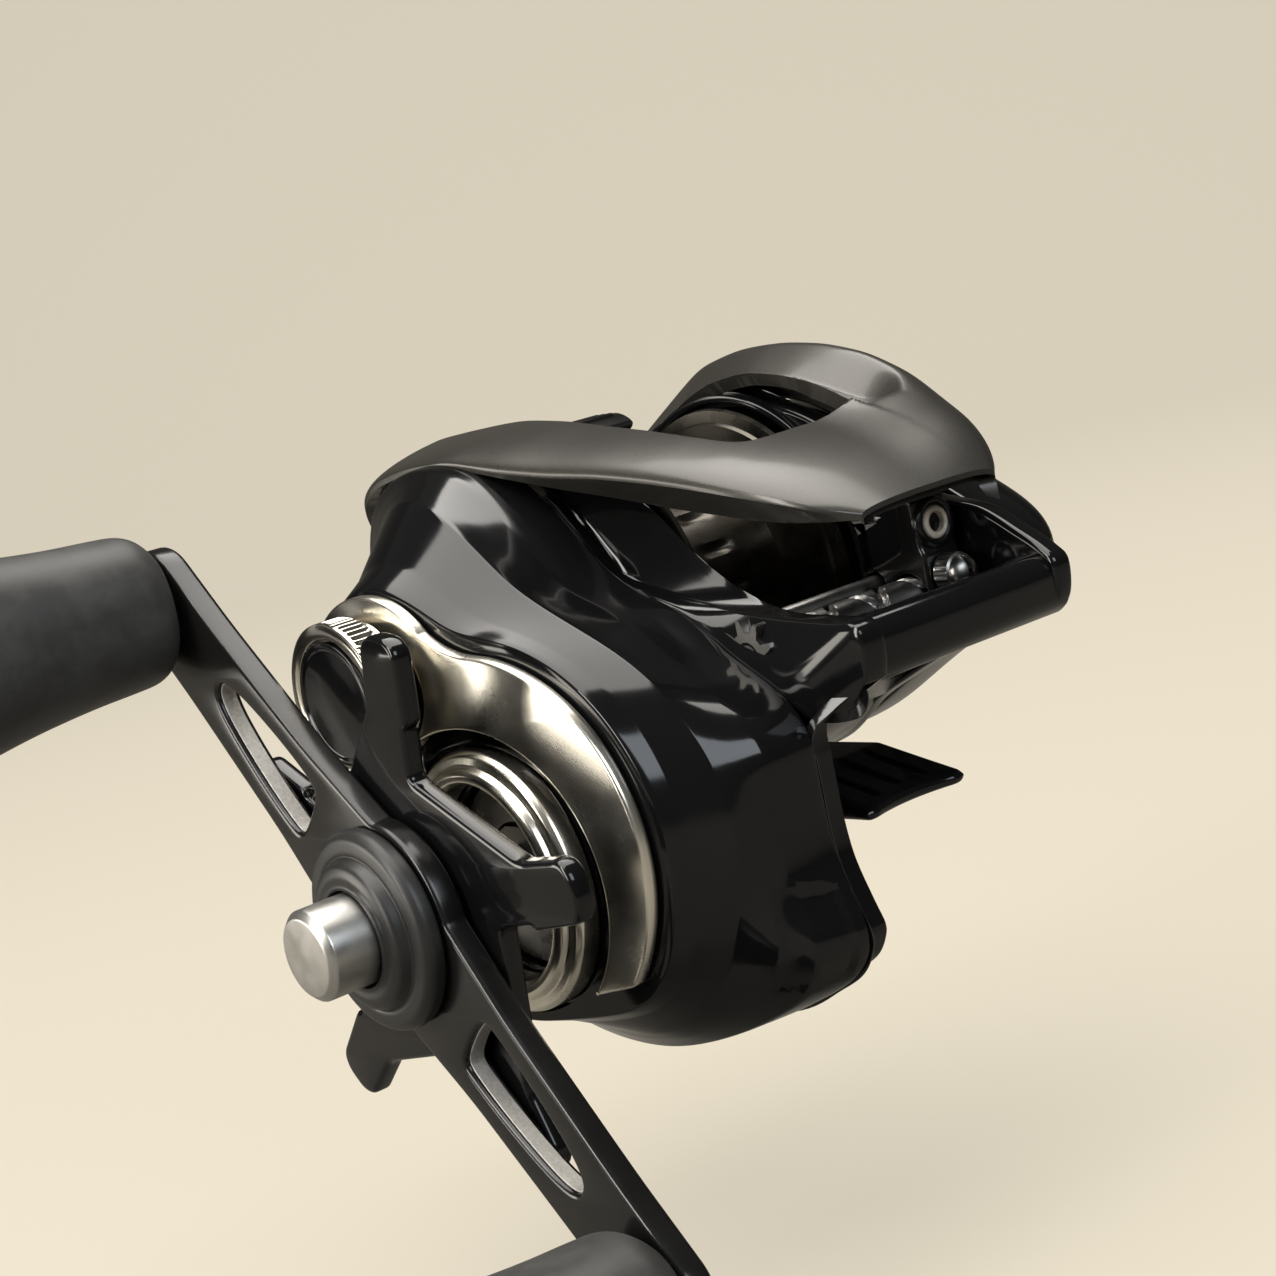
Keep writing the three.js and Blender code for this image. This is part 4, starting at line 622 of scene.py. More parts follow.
# the front edge that the gear cover and the frame's cheek share, from the rail down
coverFront = [
    (36.2, 11.4), (35.8, 8.7), (35.7, 6), (35.6, 3.3), (35.9, -0.5), (37.1, -4.2), (38, -6.7),
    (37.6, -8.6), (35.7, -10.9), (32.1, -12.8), (25.6, -15.4)]
gearCoverForm = {
    "centre": (7, 7),
    "back": 15.9,
    "belly": 13.2,                              # how far behind the face the flank starts to narrow
    "columns": 420,
    "wall": 1.7,
    "seatRadius": 13.0,                         # pocket for the silver collar
    "seatDepth": 1.5,
    "tubeRadius": 9.2, "tubeWall": 1.8, "tubeEnd": 23.0,
    "rim": fromSpool(
        (-21.5, 9.5), (-20.4, 12.5), (-17, 17.1), (-10, 18.9), (-4.5, 18.5), (0, 16.8), (4.1, 13.8),
        (8, 10.1), (11.4, 6.2), (15.5, 3.9), (21.2, 1.9), (24.4, -0.4), (27, -2.6), (30.6, -4.6),
        (34, -6.8)) + coverFront + fromDrive(
        (7, -20.7), (0.5, -21.6), (-8, -21), (-17, -18.3), (-25, -12), (-29.5, -2.5)) + fromSpool(
        (-22.4, -9), (-22.6, 2)),
    # the ridge is an outline in space; its third number says how far it lies behind the face
    "ridge": [
        (-13, 31.6, 9.4), (-10.4, 35.4, 9.2), (-6, 37.6, 8.8), (-1, 37.6, 8.3), (4, 35.5, 7.5),
        (8.5, 32.3, 7.2), (12.5, 28.9, 7.2), (16.5, 26.5, 7.5), (21, 24.1, 7.9), (26, 21.4, 8.3),
        (29.6, 18.2, 8.7), (31.9, 15, 9), (33.4, 12.2, 9.1), (34.2, 9, 9.2), (34.5, 6, 9.2),
        (34.3, 2.6, 9.2), (33.2, -1.2, 9.1), (31.2, -5.4, 9), (28.4, -9.2, 8.8), (23.8, -12.8, 8.6),
        (17, -15, 8.2), (9.5, -13.8, 7.2), (3, -11.9, 7), (-2.5, -8.7, 7.5), (-7, -3.5, 8.2),
        (-10, 3.5, 8.8), (-12, 11, 9.2), (-13.4, 19, 9.4), (-13.9, 26, 9.4)],
    # the face keeps clear of the side plate by this outline: a lobe round the casting cap, a sweep
    # in front, and a curve round the collar behind
    "lobe": 9.5, "trimSweep": 20.0, "collarSweep": 14.1,
    "panel": ((17.6, 23.6), (-10.4, -0.6)),     # sunk panel at the front, its x and z
    "panelFrom": 27, "panelDepth": 0.4, "panelEdge": 0.45, "nose": 33,
    "pinionRoom": 6.2, "thinWall": 1.0,         # the wall is thinned over the pinion
}
trimCentre = (11, 5.5)                          # the side plate's outer edge sweeps round this point


# One row of the cover: its reach at each angle, drawn in by `inset`, with its own x at each angle.
def coverRow(reach, centre, x, inset=0.0):
    return rowAround(centre, reach - inset, x, stepAngles(len(reach)))


# extra rows put in straight between rows that stand further apart than `step`
def denser(rows, step):
    made = [rows[0]]
    for first, second in zip(rows, rows[1:]):
        parts = max(1, math.ceil(np.linalg.norm(second - first, axis=1).max() / step))
        made += [first + (second - first) * (i + 1) / parts for i in range(parts)]
    return np.array(made)


# the panel low on the cover's front, sunk into the surface along its normal
def sunkPanel(rows):
    form = gearCoverForm
    along = np.roll(rows, -1, axis=1) - np.roll(rows, 1, axis=1)
    across = np.gradient(rows, axis=0)
    normal = np.cross(along, across)
    normal /= np.linalg.norm(normal, axis=2)[..., None] + 1e-9
    x, y, z = rows[..., 0], rows[..., 1], rows[..., 2]
    if normal[y > form["nose"]].mean(axis=0)[1] < 0:    # the front of the cover has to face forward
        normal = -normal
    (x0, x1), (z0, z1) = form["panel"]
    inside = np.minimum.reduce([x - x0, x1 - x, z - z0, z1 - z + 0.25 * (x - x1)])
    depth = form["panelDepth"] * np.clip(inside / form["panelEdge"] + 0.5, 0, 1)
    return rows - normal * np.where(y > form["panelFrom"], depth, 0)[..., None]


# The outside runs rim, flank, ridge, shoulder, face, collar pocket and bearing tube, then back
# along the inside of the wall, so that the grid closes on itself.
def makeGearCover():
    form = gearCoverForm
    centre, columns, back, wall = (form[k] for k in ("centre", "columns", "back", "wall"))
    seatRadius, tube, tubeEnd = form["seatRadius"], form["tubeRadius"], form["tubeEnd"]
    faceOutline = np.vstack([
        arc(spoolAxis, form["lobe"], 180, 80, 6), fromSpool((6, 7.2), (9, 5), (12.2, 3.9)),
        arc(trimCentre, form["trimSweep"], 75, -42, 10), fromDrive((13.5, -12.3), (9, -13.1)),
        arc(driveAxis, form["collarSweep"], -75, -180, 7), fromDrive((-15.6, 6.5), (-17.6, 12.5))])
    ridgeLine = np.array(form["ridge"], float)
    rim = reachOf(form["rim"], centre, columns, 1.0)
    ridge = reachOf(ridgeLine[:, :2], centre, columns, 1.6)
    face = reachOf(faceOutline, centre, columns, 1.6)
    angle = stepAngles(columns)
    ridgeX = faceDepth - readRound(ridgeLine[:, :2] - centre, ridgeLine[:, 2], columns, 3.0)
    faceX = faceDepth - faceSlope * (centre[0] + face * np.cos(angle))
    bellyX = np.full(columns, faceDepth - form["belly"])
    seat = faceDepth - faceSlope * driveAxis[0] - form["seatDepth"]

    def ring(radius, x):
        return rowAround(driveAxis, radius, x, angle)

    def blend(first, second, share):
        return first + (second - first) * share

    mouth = ring(seatRadius, 0)
    mouth[:, 0] = faceDepth - faceSlope * mouth[:, 1]
    lowFlank = blend(rim, ridge, 0.1)
    highFlank, highFlankX = blend(rim, ridge, 0.6), blend(bellyX, ridgeX, 0.6)
    outside = easedRows([
        coverRow(rim, centre, back, 0.3), coverRow(rim, centre, back + 0.3),
        coverRow(lowFlank, centre, bellyX), coverRow(highFlank, centre, highFlankX),
        coverRow(ridge, centre, ridgeX),
        coverRow(blend(ridge, face, 0.72), centre, blend(ridgeX, faceX, 0.62)),
        coverRow(face, centre, faceX), mouth, ring(seatRadius, seat), ring(tube, seat), ring(tube, tubeEnd),
    ], [0.45, 0.12, 0.22, 0.05, 0.07, 0.1, 0.03, 0.03, 0.03])
    inside = denser([
        ring(tube + form["tubeWall"], tubeEnd), ring(tube + form["tubeWall"], seat - 2.2),
        coverRow(face, centre, faceX - wall, wall), coverRow(ridge, centre, ridgeX - wall, wall),
        coverRow(highFlank, centre, highFlankX - wall, wall), coverRow(lowFlank, centre, bellyX, wall),
        coverRow(rim, centre, back, wall), coverRow(rim, centre, back, 0.3),
    ], 1.8)
    # the pinion slides out towards the casting cap, so the wall is thinned over it
    overPinion = np.hypot(inside[..., 1] - spoolAxis[0], inside[..., 2] - spoolAxis[1]) < form["pinionRoom"]
    thin = faceDepth - faceSlope * inside[..., 1] - form["thinWall"]
    inside[..., 0] = np.where(overPinion, np.maximum(inside[..., 0], thin), inside[..., 0])
    return gridSurface(np.concatenate([sunkPanel(denser(outside, 1.35)), inside]))


makePiece("gearSideCover", makeGearCover(), "reel_body", "gloss_black", "gear_side_cover", 24)
print("stage: gear side cover")

trimForm = {
    "outer": 18.6, "inner": 14.8, "lobe": 9.0, "capHole": 6.1,
    "back": 0.3, "thickness": 1.3, "edge": 0.32, "corner": 1.1,
}


def makeTrim():
    form = trimForm
    outline = softOutline(np.vstack([
        arc(trimCentre, form["outer"], -42, 78, 60), fromSpool((12, 2.6), (9.6, 3.5)),
        arc(spoolAxis, form["lobe"], 32, 215, 60), arc(driveAxis, form["inner"], 138, -45, 90)]),
        form["corner"], 700)
    back = faceDepth + form["back"]
    return plateSurface([outline, circle(spoolAxis, form["capHole"], 96)], back, back + form["thickness"],
                        form["edge"], 4, faceSlope)


makePiece("sideTrimPlate", makeTrim(), "reel_body", "silver", "side_trim_plate")

driveFace = faceDepth - faceSlope * driveAxis[0]
collarForm = {"back": driveFace - 1.2, "radius": 12.7, "height": 3.4}


# a stepped ring: a wide base, a groove and a rounded inner lip
def makeCollar():
    back, r = collarForm["back"], collarForm["radius"]
    face = back + collarForm["height"]
    return turnedRing([
        (back, r - 3.2), (back, r), (face - 1.5, r), (face - 0.95, r - 0.45), (face - 0.95, r - 1.35),
        (face - 0.3, r - 1.6), (face, r - 2.1), (face - 0.1, r - 2.7), (face - 0.9, r - 3.2)],
        0.18, 3, driveAxis, 144)


makePiece("driveCollar", makeCollar(), "reel_body", "silver", "drive_collar")

capForm = {
    "back": faceDepth + trimForm["back"] + trimForm["thickness"] + 0.7, "face": 41.1, "radius": 7.7,
    "knurl": 3.1, "flutes": 66, "fluteDepth": 0.34, "rimWidth": 1.5, "inlay": 0.5,
    "bore": 2.7, "hollow": 6.1, "roof": 39.6,
}


# knurling: straight flutes whose depth fades out at both ends of the band
def makeCap():
    form = capForm
    back, face, r = form["back"], form["face"], form["radius"]
    bore, hollow, roof = form["bore"], form["hollow"], form["roof"]
    start, stop = face - form["knurl"], face - 0.45
    dish = r - form["rimWidth"]

    def flutes(x, angle):
        wave = 0.5 - 0.5 * np.cos(form["flutes"] * angle)
        band = np.clip((x - start + 0.02) / 0.25, 0, 1) * np.clip((stop - x) / 0.25, 0, 1)
        return -form["fluteDepth"] * wave ** 1.6 * band

    profile = [
        (back - 0.4, 0.3), (back - 0.4, bore), (roof, bore), (roof, hollow), (back, hollow),
        (back, r - 0.6), (start - 0.15, r - 0.6), (start, r - 0.15), (start + 0.25, r), (start + 0.5, r),
        (stop - 0.5, r), (stop - 0.25, r), (stop, r), (face - 0.12, r - 0.05), (face, r - 0.22),
        (face, dish + 0.12), (face - 0.1, dish), (face - form["inlay"], dish), (face - form["inlay"], 0.3)]
    return latheSurface(profile, spoolAxis, form["flutes"] * 8, flutes)


makePiece("castControlCap", makeCap(), "cast_cap", "silver", "cast_control_cap",
          paint=silverPaint("capSilver", (0.74, 0.7, 0.62), 0.14, spoolAxis))


# the inlay is a shallow dish with one raised ring
def makeInlay():
    face, r = capForm["face"], capForm["radius"] - capForm["rimWidth"] - 0.3
    return turned([
        (face - 0.2, 0.2), (face - 0.2, r), (face + 0.12, r), (face + 0.2, r - 0.2), (face + 0.2, r - 0.5),
        (face + 0.02, r - 0.75), (face + 0.04, r - 2.2), (face + 0.1, 0.2)], 0.1, 3, spoolAxis, 128)


makePiece("capInlay", makeInlay(), "cast_cap", "gloss_black", "cap_inlay")
print("stage: side plate, collar and casting cap")

starForm = {
    "inner": 41.5, "thickness": 2.1, "hub": 8.6, "neck": 6.4, "arms": 5, "phase": 8, "bore": 2.8,
    "corner": 0.9, "edge": 0.55,
    # one arm's corners, as radius and degrees from the arm's middle
    "corners": [(13.4, -10), (18.2, -7.4), (18.6, -9.2), (25.3, -6.4), (26.2, -3), (26.2, 3), (25.3, 6.4),
                (19.4, 9.4)],
}


def makeStar():
    form = starForm
    inner, bore, neck, hub = (form[k] for k in ("inner", "bore", "neck", "hub"))
    outer = inner + form["thickness"]
    corners = []
    for k in range(form["arms"]):
        for r, turn in form["corners"]:
            a = math.radians(form["phase"] + 360 * k / form["arms"] + turn)
            corners.append((driveAxis[0] + r * math.cos(a), driveAxis[1] + r * math.sin(a)))
    plate = plateSurface([softOutline(corners, form["corner"], 600), circle(driveAxis, bore, 64)],
                         inner, outer, form["edge"])
    boss = turnedRing([
        (inner - 3.6, bore + 0.05), (inner - 3.6, neck), (inner - 2.2, neck), (inner - 0.9, hub),
        (outer - 0.25, hub), (outer - 0.25, bore + 0.05)], 0.3, 4, driveAxis, 96)
    return together(plate, boss)


makePiece("starDrag", makeStar(), "star", "gloss_black", "star_drag")

handleForm = {
    "inner": 44.0, "thickness": 2.6, "angle": 133, "length": 42, "hub": 9.6, "width": 10.4, "tip": 5.2,
    "slotStart": 13.5, "slotEnd": 30.5, "edge": 0.55, "bore": 2.8, "pin": 1.9,
    "sideWidths": (0.02, 0.12, 0.6), "swell": 1.4, "corner": 2.4, "lining": (-0.12, 0.1),
}


# u runs along the handle from the drive axis, w across it
def alongHandle(pairs):
    a = math.radians(handleForm["angle"])
    p = np.asarray(pairs, float)
    y = driveAxis[0] + p[:, 0] * math.cos(a) - p[:, 1] * math.sin(a)
    z = driveAxis[1] + p[:, 0] * math.sin(a) + p[:, 1] * math.cos(a)
    return np.stack([y, z], axis=1)


# the knobs' axes: the upper one at 1, the lower at -1
def knobAxis(sign):
    return alongHandle([(sign * handleForm["length"], 0)])[0]


def makeHandle():
    form = handleForm
    length, tipReach, inner = form["length"], form["tip"], form["inner"]
    tip = arc((length, 0), tipReach, -90, 90, 40)
    # the side widens from the tip to the hub
    places = (length - 8, form["slotEnd"], form["slotStart"] + 3)
    side = [(u, tipReach + (form["width"] / 2 + form["swell"] - tipReach) * share)
            for u, share in zip(places, form["sideWidths"])]
    hub = arc((0, 0), form["hub"], 50, 130, 30)
    half = np.vstack([tip, side, hub, [(-u, w) for u, w in side[::-1]]])
    outline = softOutline(np.vstack([half, -half]), form["corner"], 700)
    slots = [handleSlot(sign) for sign in (1, -1)]
    pins = [circle(knobAxis(sign), form["pin"], 40) for sign in (1, -1)]
    return plateSurface([alongHandle(outline), *slots, circle(driveAxis, form["bore"], 48), *pins],
                        inner, inner + form["thickness"], form["edge"])


# a long drop, wider towards the hub
def handleSlot(sign):
    start, end = handleForm["slotStart"], handleForm["slotEnd"]
    side = [(start, 2.9), (start + 1, 3.5), (start + 7, 3.3), (end - 3, 2.3), (end - 0.4, 1.2)]
    slot = np.array([(u, -w) for u, w in side] + [(end, 0)] + side[::-1])
    return alongHandle(evenly(spline(sign * slot, 240), 200))


# the walls of the two slots are bare cast metal: a thin lining inside each
def makeSlotLinings():
    form, linings = handleForm, []
    for sign in (1, -1):
        slot = handleSlot(sign)
        slot = slot if area(slot) > 0 else slot[::-1]
        linings.append(plateSurface(
            [moved(slot, by) for by in form["lining"]], form["inner"] + form["edge"],
            form["inner"] + form["thickness"] - form["edge"], 0.04, 1))
    return together(*linings)


# pale, matte, with a coarse grain
castPaint = grainPaint("castAlloy", 0.35, 3.0, [(0.30, 0.29, 0.275), (0.62, 0.6, 0.565)], bump=(0.06, 0.6),
                       Metallic=0.6, Roughness=0.55)
makePiece("handleArm", makeHandle(), "handle", "satin_black", "handle_arm")
makePiece("handleSlotLinings", makeSlotLinings(), "handle", "aluminium", crease=32, paint=castPaint)

nutForm = {
    "back": 46.9, "radius": 9.4, "height": 3.6, "nut": 4.25, "nutFace": 55.4, "pilot": 2.8, "pilotEnd": 5.0,
}


# a disc that steps up twice towards the nut
def makeRetainer():
    back, r, bore = nutForm["back"], nutForm["radius"], nutForm["nut"] + 0.3
    return turnedRing([
        (back, bore), (back, r), (back + 1.3, r), (back + 2.0, r - 0.6), (back + 2.15, r - 1.9),
        (back + 2.0, r - 2.2), (back + 3.1, r - 2.7), (back + 3.45, r - 3.6), (back + 3.3, r - 4.6),
        (back + nutForm["height"], bore)], 0.35, 4, driveAxis, 128)


makePiece("nutRetainer", makeRetainer(), "handle", "satin_black", "nut_retainer",
          paint=satinBlackPaint("retainerBlack", (0.012, 0.0118, 0.0115), 0.34))


def makeNut():
    back, r, face, pilot = (nutForm[k] for k in ("back", "nut", "nutFace", "pilot"))
    end = back + nutForm["pilotEnd"]
    return turned([
        (end, 0.2), (end, pilot), (back, pilot), (back, r), (face - 0.75, r), (face - 0.1, r - 0.65),
        (face, 0.2)], 0.14, 4, driveAxis, 128)


makePiece("handleNut", makeNut(), "handle", "brushed", "handle_nut", 30)
print("stage: star, handle and nut")

knobForm = {
    "back": 47.1, "length": 31.0, "neck": 7.6, "end": 10.2, "thickness": 15.0, "columns": 128,
    # share of the length, half height over the neck's, half width over half the thickness
    "stations": [
        (0.0, 0.60, 0.52), (0.0, 0.74, 0.70), (0.055, 0.97, 0.90), (0.16, 1.0, 0.95), (0.3, 1.03, 0.97),
        (0.5, 1.12, 1.0), (0.7, 1.27, 1.0), (0.84, 1.34, 0.985), (0.945, 1.27, 0.9), (1.0, 1.05, 0.74),
        (1.0, 0.75, 0.66)],
    "bore": 1.9, "socket": 4.0, "socketDepth": 2.7, "cap": 4.9, "capDepth": 2.2, "fullness": 0.85,
}


# superellipse sections whose half height and half width swell along the knob
def makeKnob(centre):
    form = knobForm
    back, bore, socket = form["back"], form["bore"], form["socket"]
    angle = np.linspace(0, 2 * np.pi, form["columns"], endpoint=False)

    def bulge(v):
        return np.sign(v) * np.abs(v) ** form["fullness"]

    def ring(radius, x):
        return rowAround(centre, radius, x, angle)

    controls = []
    for share, high, wide in form["stations"]:
        tall = min(high * form["neck"], form["end"])
        controls.append(np.stack([
            np.full(form["columns"], back + share * form["length"]),
            centre[0] + wide * form["thickness"] / 2 * bulge(np.cos(angle)),
            centre[1] + tall * bulge(np.sin(angle))], axis=1))
    end, inner = back + form["length"], back + form["socketDepth"]
    floor = end - form["capDepth"]
    rows = easedRows(
        controls + [ring(form["cap"], end), ring(form["cap"], floor), ring(bore, floor), ring(bore, inner),
                    ring(socket, inner), ring(socket, back)],
        [0.45] * 9 + [0.3, 0.08, 0.02, 0.02, 0.02, 0.02])
    return closedGrid(rows[:-1])


knobs = (("a", "knob_upper", 1), ("b", "knob_lower", -1))
for side, body, sign in knobs:
    makePiece(f"knob_{side}_grip", makeKnob(knobAxis(sign)), body, "rubber", f"knob_{side}", 50)
print("stage: knobs")

archForm = {
    # y, right and left stand-off from the walls, edge heights and crown above the spool axis,
    # how much the palm side swells over that crown, tuck
    "stations": np.array([
        (-24.4, 4.8, 0.4, 13, 5, 18, -8, 0), (-22.6, 6.7, 1.8, 15, 6.6, 20, -8.6, 0),
        (-18.5, 6.9, 2.8, 17.3, 9.8, 20.5, -6.6, 0), (-12, 6.9, 3.6, 18.3, 13.5, 20.7, -3.1, 0),
        (-5, 6.7, 3.9, 18.4, 16, 20.6, 2.7, 0), (2, 5.9, 4, 16.7, 16.9, 19.9, 5.6, 0),
        (8, 4.7, 4, 15.5, 16.5, 18.9, 7, 0.3), (14, 3.5, 3.7, 14.7, 15.5, 18, 7.3, 0.7),
        (20, 2.5, 3.2, 13.6, 13.9, 16.9, 6.9, 1), (26, 1.6, 2.2, 12.3, 12.3, 15.4, 5.3, 1),
        (31, 0.7, 0.8, 11, 10.7, 13.9, 2.8, 0.9), (35, -0.5, -0.7, 9.8, 9.4, 12.2, 2.2, 0.6),
        (38.4, -2.1, -2.7, 8.5, 8.2, 9.9, 0.8, 0.2), (40.2, -4.7, -5.1, 7.6, 7.4, 8.4, 0, 0)]),
    # y, height of the flank's foot above the spool axis, climb over the flank's width
    "flank": np.array([
        (-30, 1, 4.4), (-24.4, 6, 4.4), (-18, 10.3, 4.3), (-12, 13.7, 4.1), (-8.1, 15.8, 4),
        (-4.3, 17.9, 3.7), (0.5, 19.5, 2.9), (6.7, 20.1, 2.4), (12.7, 19.2, 2.7), (17.8, 17.7, 3.2),
        (23.3, 15.6, 3.7), (26.5, 15.2, 3.7), (30, 17, 3), (42, 28, 2)]),
    "flankFoot": -9.9, "flankWidth": 4.1, "crest": 0.35, "flankFrom": -5.9,
    "gearPower": 2.4, "palmPower": 3.0,          # how square the arch is on either side
    "wall": 1.6, "rounding": 0.3, "roundedFrom": 55,     # edges are rounded from this turn, in degrees
    "tuckDepth": 2.6, "edgeDepth": 0.4, "tuckShare": 0.1, "lipDrop": 0.5,
    "gapHalf": 10.9, "columns": 380, "rows": 84, "tuckRows": 5, "noseRun": 26.0,
    "window": [
        (10.9, -16), (10.9, -11.2), (9.3, -8), (9.4, 0), (9.4, 17.5), (8.9, 22.5), (8.2, 25.3),
        (6.2, 26.5), (0, 26.5), (-6.0, 26.5), (-8.0, 25.3), (-9.1, 21.5), (-9.9, 16.5), (-9.9, 0),
        (-9.9, -8), (-10.9, -12), (-10.9, -16)],
}


# Station values at any y, with the kinks between stations smoothed away.
def stationTable(stations, width=7.0, step=0.2):
    y = np.arange(stations[0, 0], stations[-1, 0] + step / 2, step)
    y[-1] = stations[-1, 0]
    values = [softened(np.interp(y, stations[:, 0], column), width) for column in stations.T[1:]]
    return y, np.array(values)


archY, archValues = stationTable(archForm["stations"])
flankY, flankValues = stationTable(archForm["flank"])


# The arch across the cover at each (y, a): a runs 0 at the right lower edge to 1 at the left one,
# and past either end it goes down the tucked-in side. On the palm side the flank cuts it down.
def archPoint(y, a):
    form = archForm
    rightOut, leftOut, rightZ, leftZ, crown, swell, tuck = (np.interp(y, archY, v) for v in archValues)
    right, left = wallOuter + rightOut, -wallOuter - leftOut
    inside = np.clip(a, 0, 1)
    along = np.pi * inside
    base = spoolAxis[1] + rightZ + (leftZ - rightZ) * inside
    power = 2 / np.where(inside < 0.5, form["gearPower"], form["palmPower"])
    across = np.sign(np.cos(along)) * np.abs(np.cos(along)) ** power
    height = np.abs(np.sin(along)) ** power
    crest = spoolAxis[1] + crown + swell * np.maximum(-across, 0) ** 1.5
    x = (right + left) / 2 + (right - left) / 2 * across
    z = base + np.maximum(crest - base, 0.25) * height
    foot, climb = (np.interp(y, flankY, v) for v in flankValues)
    limit = spoolAxis[1] + foot + climb / form["flankWidth"] * np.maximum(form["flankFoot"] - x, 0)
    cut = 0.5 * (z + limit - np.sqrt((z - limit) ** 2 + 4 * form["crest"] ** 2))   # the lower, rounded over
    z = np.where(x < form["flankFrom"], cut, z)
    beyond = np.clip(np.maximum(-a, a - 1), 0, None) / form["tuckShare"]    # 1 at the tuck's foot
    drop = form["tuckDepth"] * np.maximum(tuck, 0)
    x = x - np.where(a < 0.5, 1, -1) * beyond * drop
    z = z - beyond * (drop + form["edgeDepth"])
    return np.stack([x, np.broadcast_to(y, np.shape(x)), z], axis=-1)


# where on the arch at y the surface stands at the given x
def archAt(y, x, samples=801):
    a = 0.5 - 0.5 * np.cos(np.linspace(0, np.pi, samples))
    at = archPoint(np.full(samples, y), a)[:, 0]
    return np.interp(-x, -at, a)


# The cover is a horseshoe: columns run from the end of the right arm round the nose to the end of
# the left arm, and rows from the window's edge out and down to the lower edge.
def makeTopCover():
    form = archForm
    gap, columns, nose, tuckRows = (form[k] for k in ("gapHalf", "columns", "noseRun", "tuckRows"))
    yLow, yHigh = form["stations"][0, 0], form["stations"][-1, 0]
    window = evenly(spline([(gap, yLow)] * 3 + form["window"] + [(-gap, yLow)] * 3, 1600, closed=False),
                    columns, closed=False)
    window[0, 1] = window[-1, 1] = yLow
    innerA = np.array([archAt(y, x) for x, y in window])
    innerY = window[:, 1]
    # the outer edge in (a, y): forward along a = 0, round the nose, back along a = 1
    side = yHigh - yLow
    run = np.linspace(0, 2 * side + nose, columns)
    outerY = np.where(run < side, yLow + run, np.where(run < side + nose, yHigh, yHigh - (run - side - nose)))
    outerA = np.clip((run - side) / nose, 0, 1)
    v = 1 - (1 - np.linspace(0, 1, form["rows"])[:, None]) ** 1.35
    top = archPoint(innerY[None] + (outerY - innerY)[None] * v, innerA[None] + (outerA - innerA)[None] * v)
    # the tuck fades out round the nose, where the edge only turns down into a lip
    steps = np.linspace(0, 1, tuckRows + 1)[1:, None]
    fade = np.clip(1 - 4 * np.minimum(outerA, 1 - outerA), 0, 1)
    tuckA = outerA[None] + np.where(outerA < 0.5, -1, 1)[None] * form["tuckShare"] * steps * fade[None]
    tuck = archPoint(np.repeat(outerY[None], tuckRows, axis=0), tuckA)
    tuck[:, (outerA > 0) & (outerA < 1), 2] -= steps * form["lipDrop"]
    return gridSurface(np.concatenate([top, tuck]), wrap=False)


topCover = makePiece("topCover", makeTopCover(), "reel_body", "satin_grey", "top_cover", 50)
wall = topCover.modifiers.new("wall", "SOLIDIFY")
wall.thickness, wall.offset, wall.use_even_offset = archForm["wall"] * mm, -1, False
rounding = topCover.modifiers.new("rounding", "BEVEL")
rounding.width, rounding.segments, rounding.limit_method = archForm["rounding"] * mm, 3, "ANGLE"
rounding.angle_limit = math.radians(archForm["roundedFrom"])
settle(topCover, 40)
print("stage: top cover")

frameForm = {
    "inner": 10.9, "rail": 13.6, "outer": 15.9, "wall": 1.1, "lean": (1.25, 0.27), "curveSteps": 8,
    # upper and front edge of the gear side cheek, matched point by point: inner edge, rail and outer edge
    "innerEdge": [
        (4, 36.6), (9, 34.9), (14.5, 31.8), (18.7, 27.9), (22.3, 25.2), (25.5, 23.4), (29, 22),
        (33, 21.2), (38, 20.9), (41.3, 20.6), (42.3, 18.9), (41.8, 15.7), (40.1, 14.5)],
    "railEdge": [
        (3, 34.6), (6.5, 31.5), (9.5, 28.3), (11.8, 25.9), (16.5, 24.4), (21, 23.3), (26, 22.3),
        (31.5, 21.4), (37.3, 20.8), (41.3, 20.5), (42.2, 18.9), (41.7, 15.7), (40, 14.5)],
    "outerEdge": [
        (15.9, 4.1, 34.9), (15.9, 6.8, 33), (15.9, 9.3, 30), (15.9, 11.8, 26.2), (15.9, 15, 25.2),
        (15.9, 19, 24), (15.9, 23, 22), (15.9, 26.2, 18.8), (15.9, 30.6, 16.7), (15.9, 33.8, 15.2),
        (15, 36.2, 13.3), (13.7, 39.3, 13.2), (13.6, 40, 14.4)],
    "below": fromDrive((5, -19.6), (-1, -20.2), (-8, -20), (-16.6, -17.4), (-24.2, -11.4), (-28.6, -2.5)) +
        fromSpool((-21.6, -9), (-20.9, 2.5), (-20.8, 9.4), (-19.6, 12.4), (-16, 15.9), (-10, 17), (-4, 16.2)),
    "palm": fromSpool(
        (-20.6, 2), (-19, 9), (-14, 14.4), (-6, 17), (3, 17.2), (11, 15.6), (18, 12), (23, 8), (28, 5.4),
        (34, 4), (38.6, 1.4)) + [(41.3, 21.1), (42.5, 19.6), (41.9, 16.4), (40.1, 15.2)] + fromSpool(
        (34, -7.8), (29, -9.2), (24, -10.8), (19, -12.8), (14, -15), (7, -19.2), (-1, -20.4),
        (-11, -17.2), (-18, -9.6)),
    "bar": [
        (38.6, 15.8), (38.6, 19.7), (39.5, 20.75), (41.2, 20.6), (42.2, 18.9), (41.7, 15.7), (40.1, 14.6),
        (39.4, 14.7)],
    "floor": [(39.7, 15.3)] + fromSpool((35, -7.6), (30, -8.9), (25, -10.3), (20, -11.9), (15.6, -14.2)),
    "ringInner": 17.8, "ringOuter": 20.4, "liningInner": 17.3, "liningOuter": 18.2,
    "floorDepth": (-0.5, 1.2), "cornerRadius": 3.0, "cornerHeight": (15.3, 20.5),
}
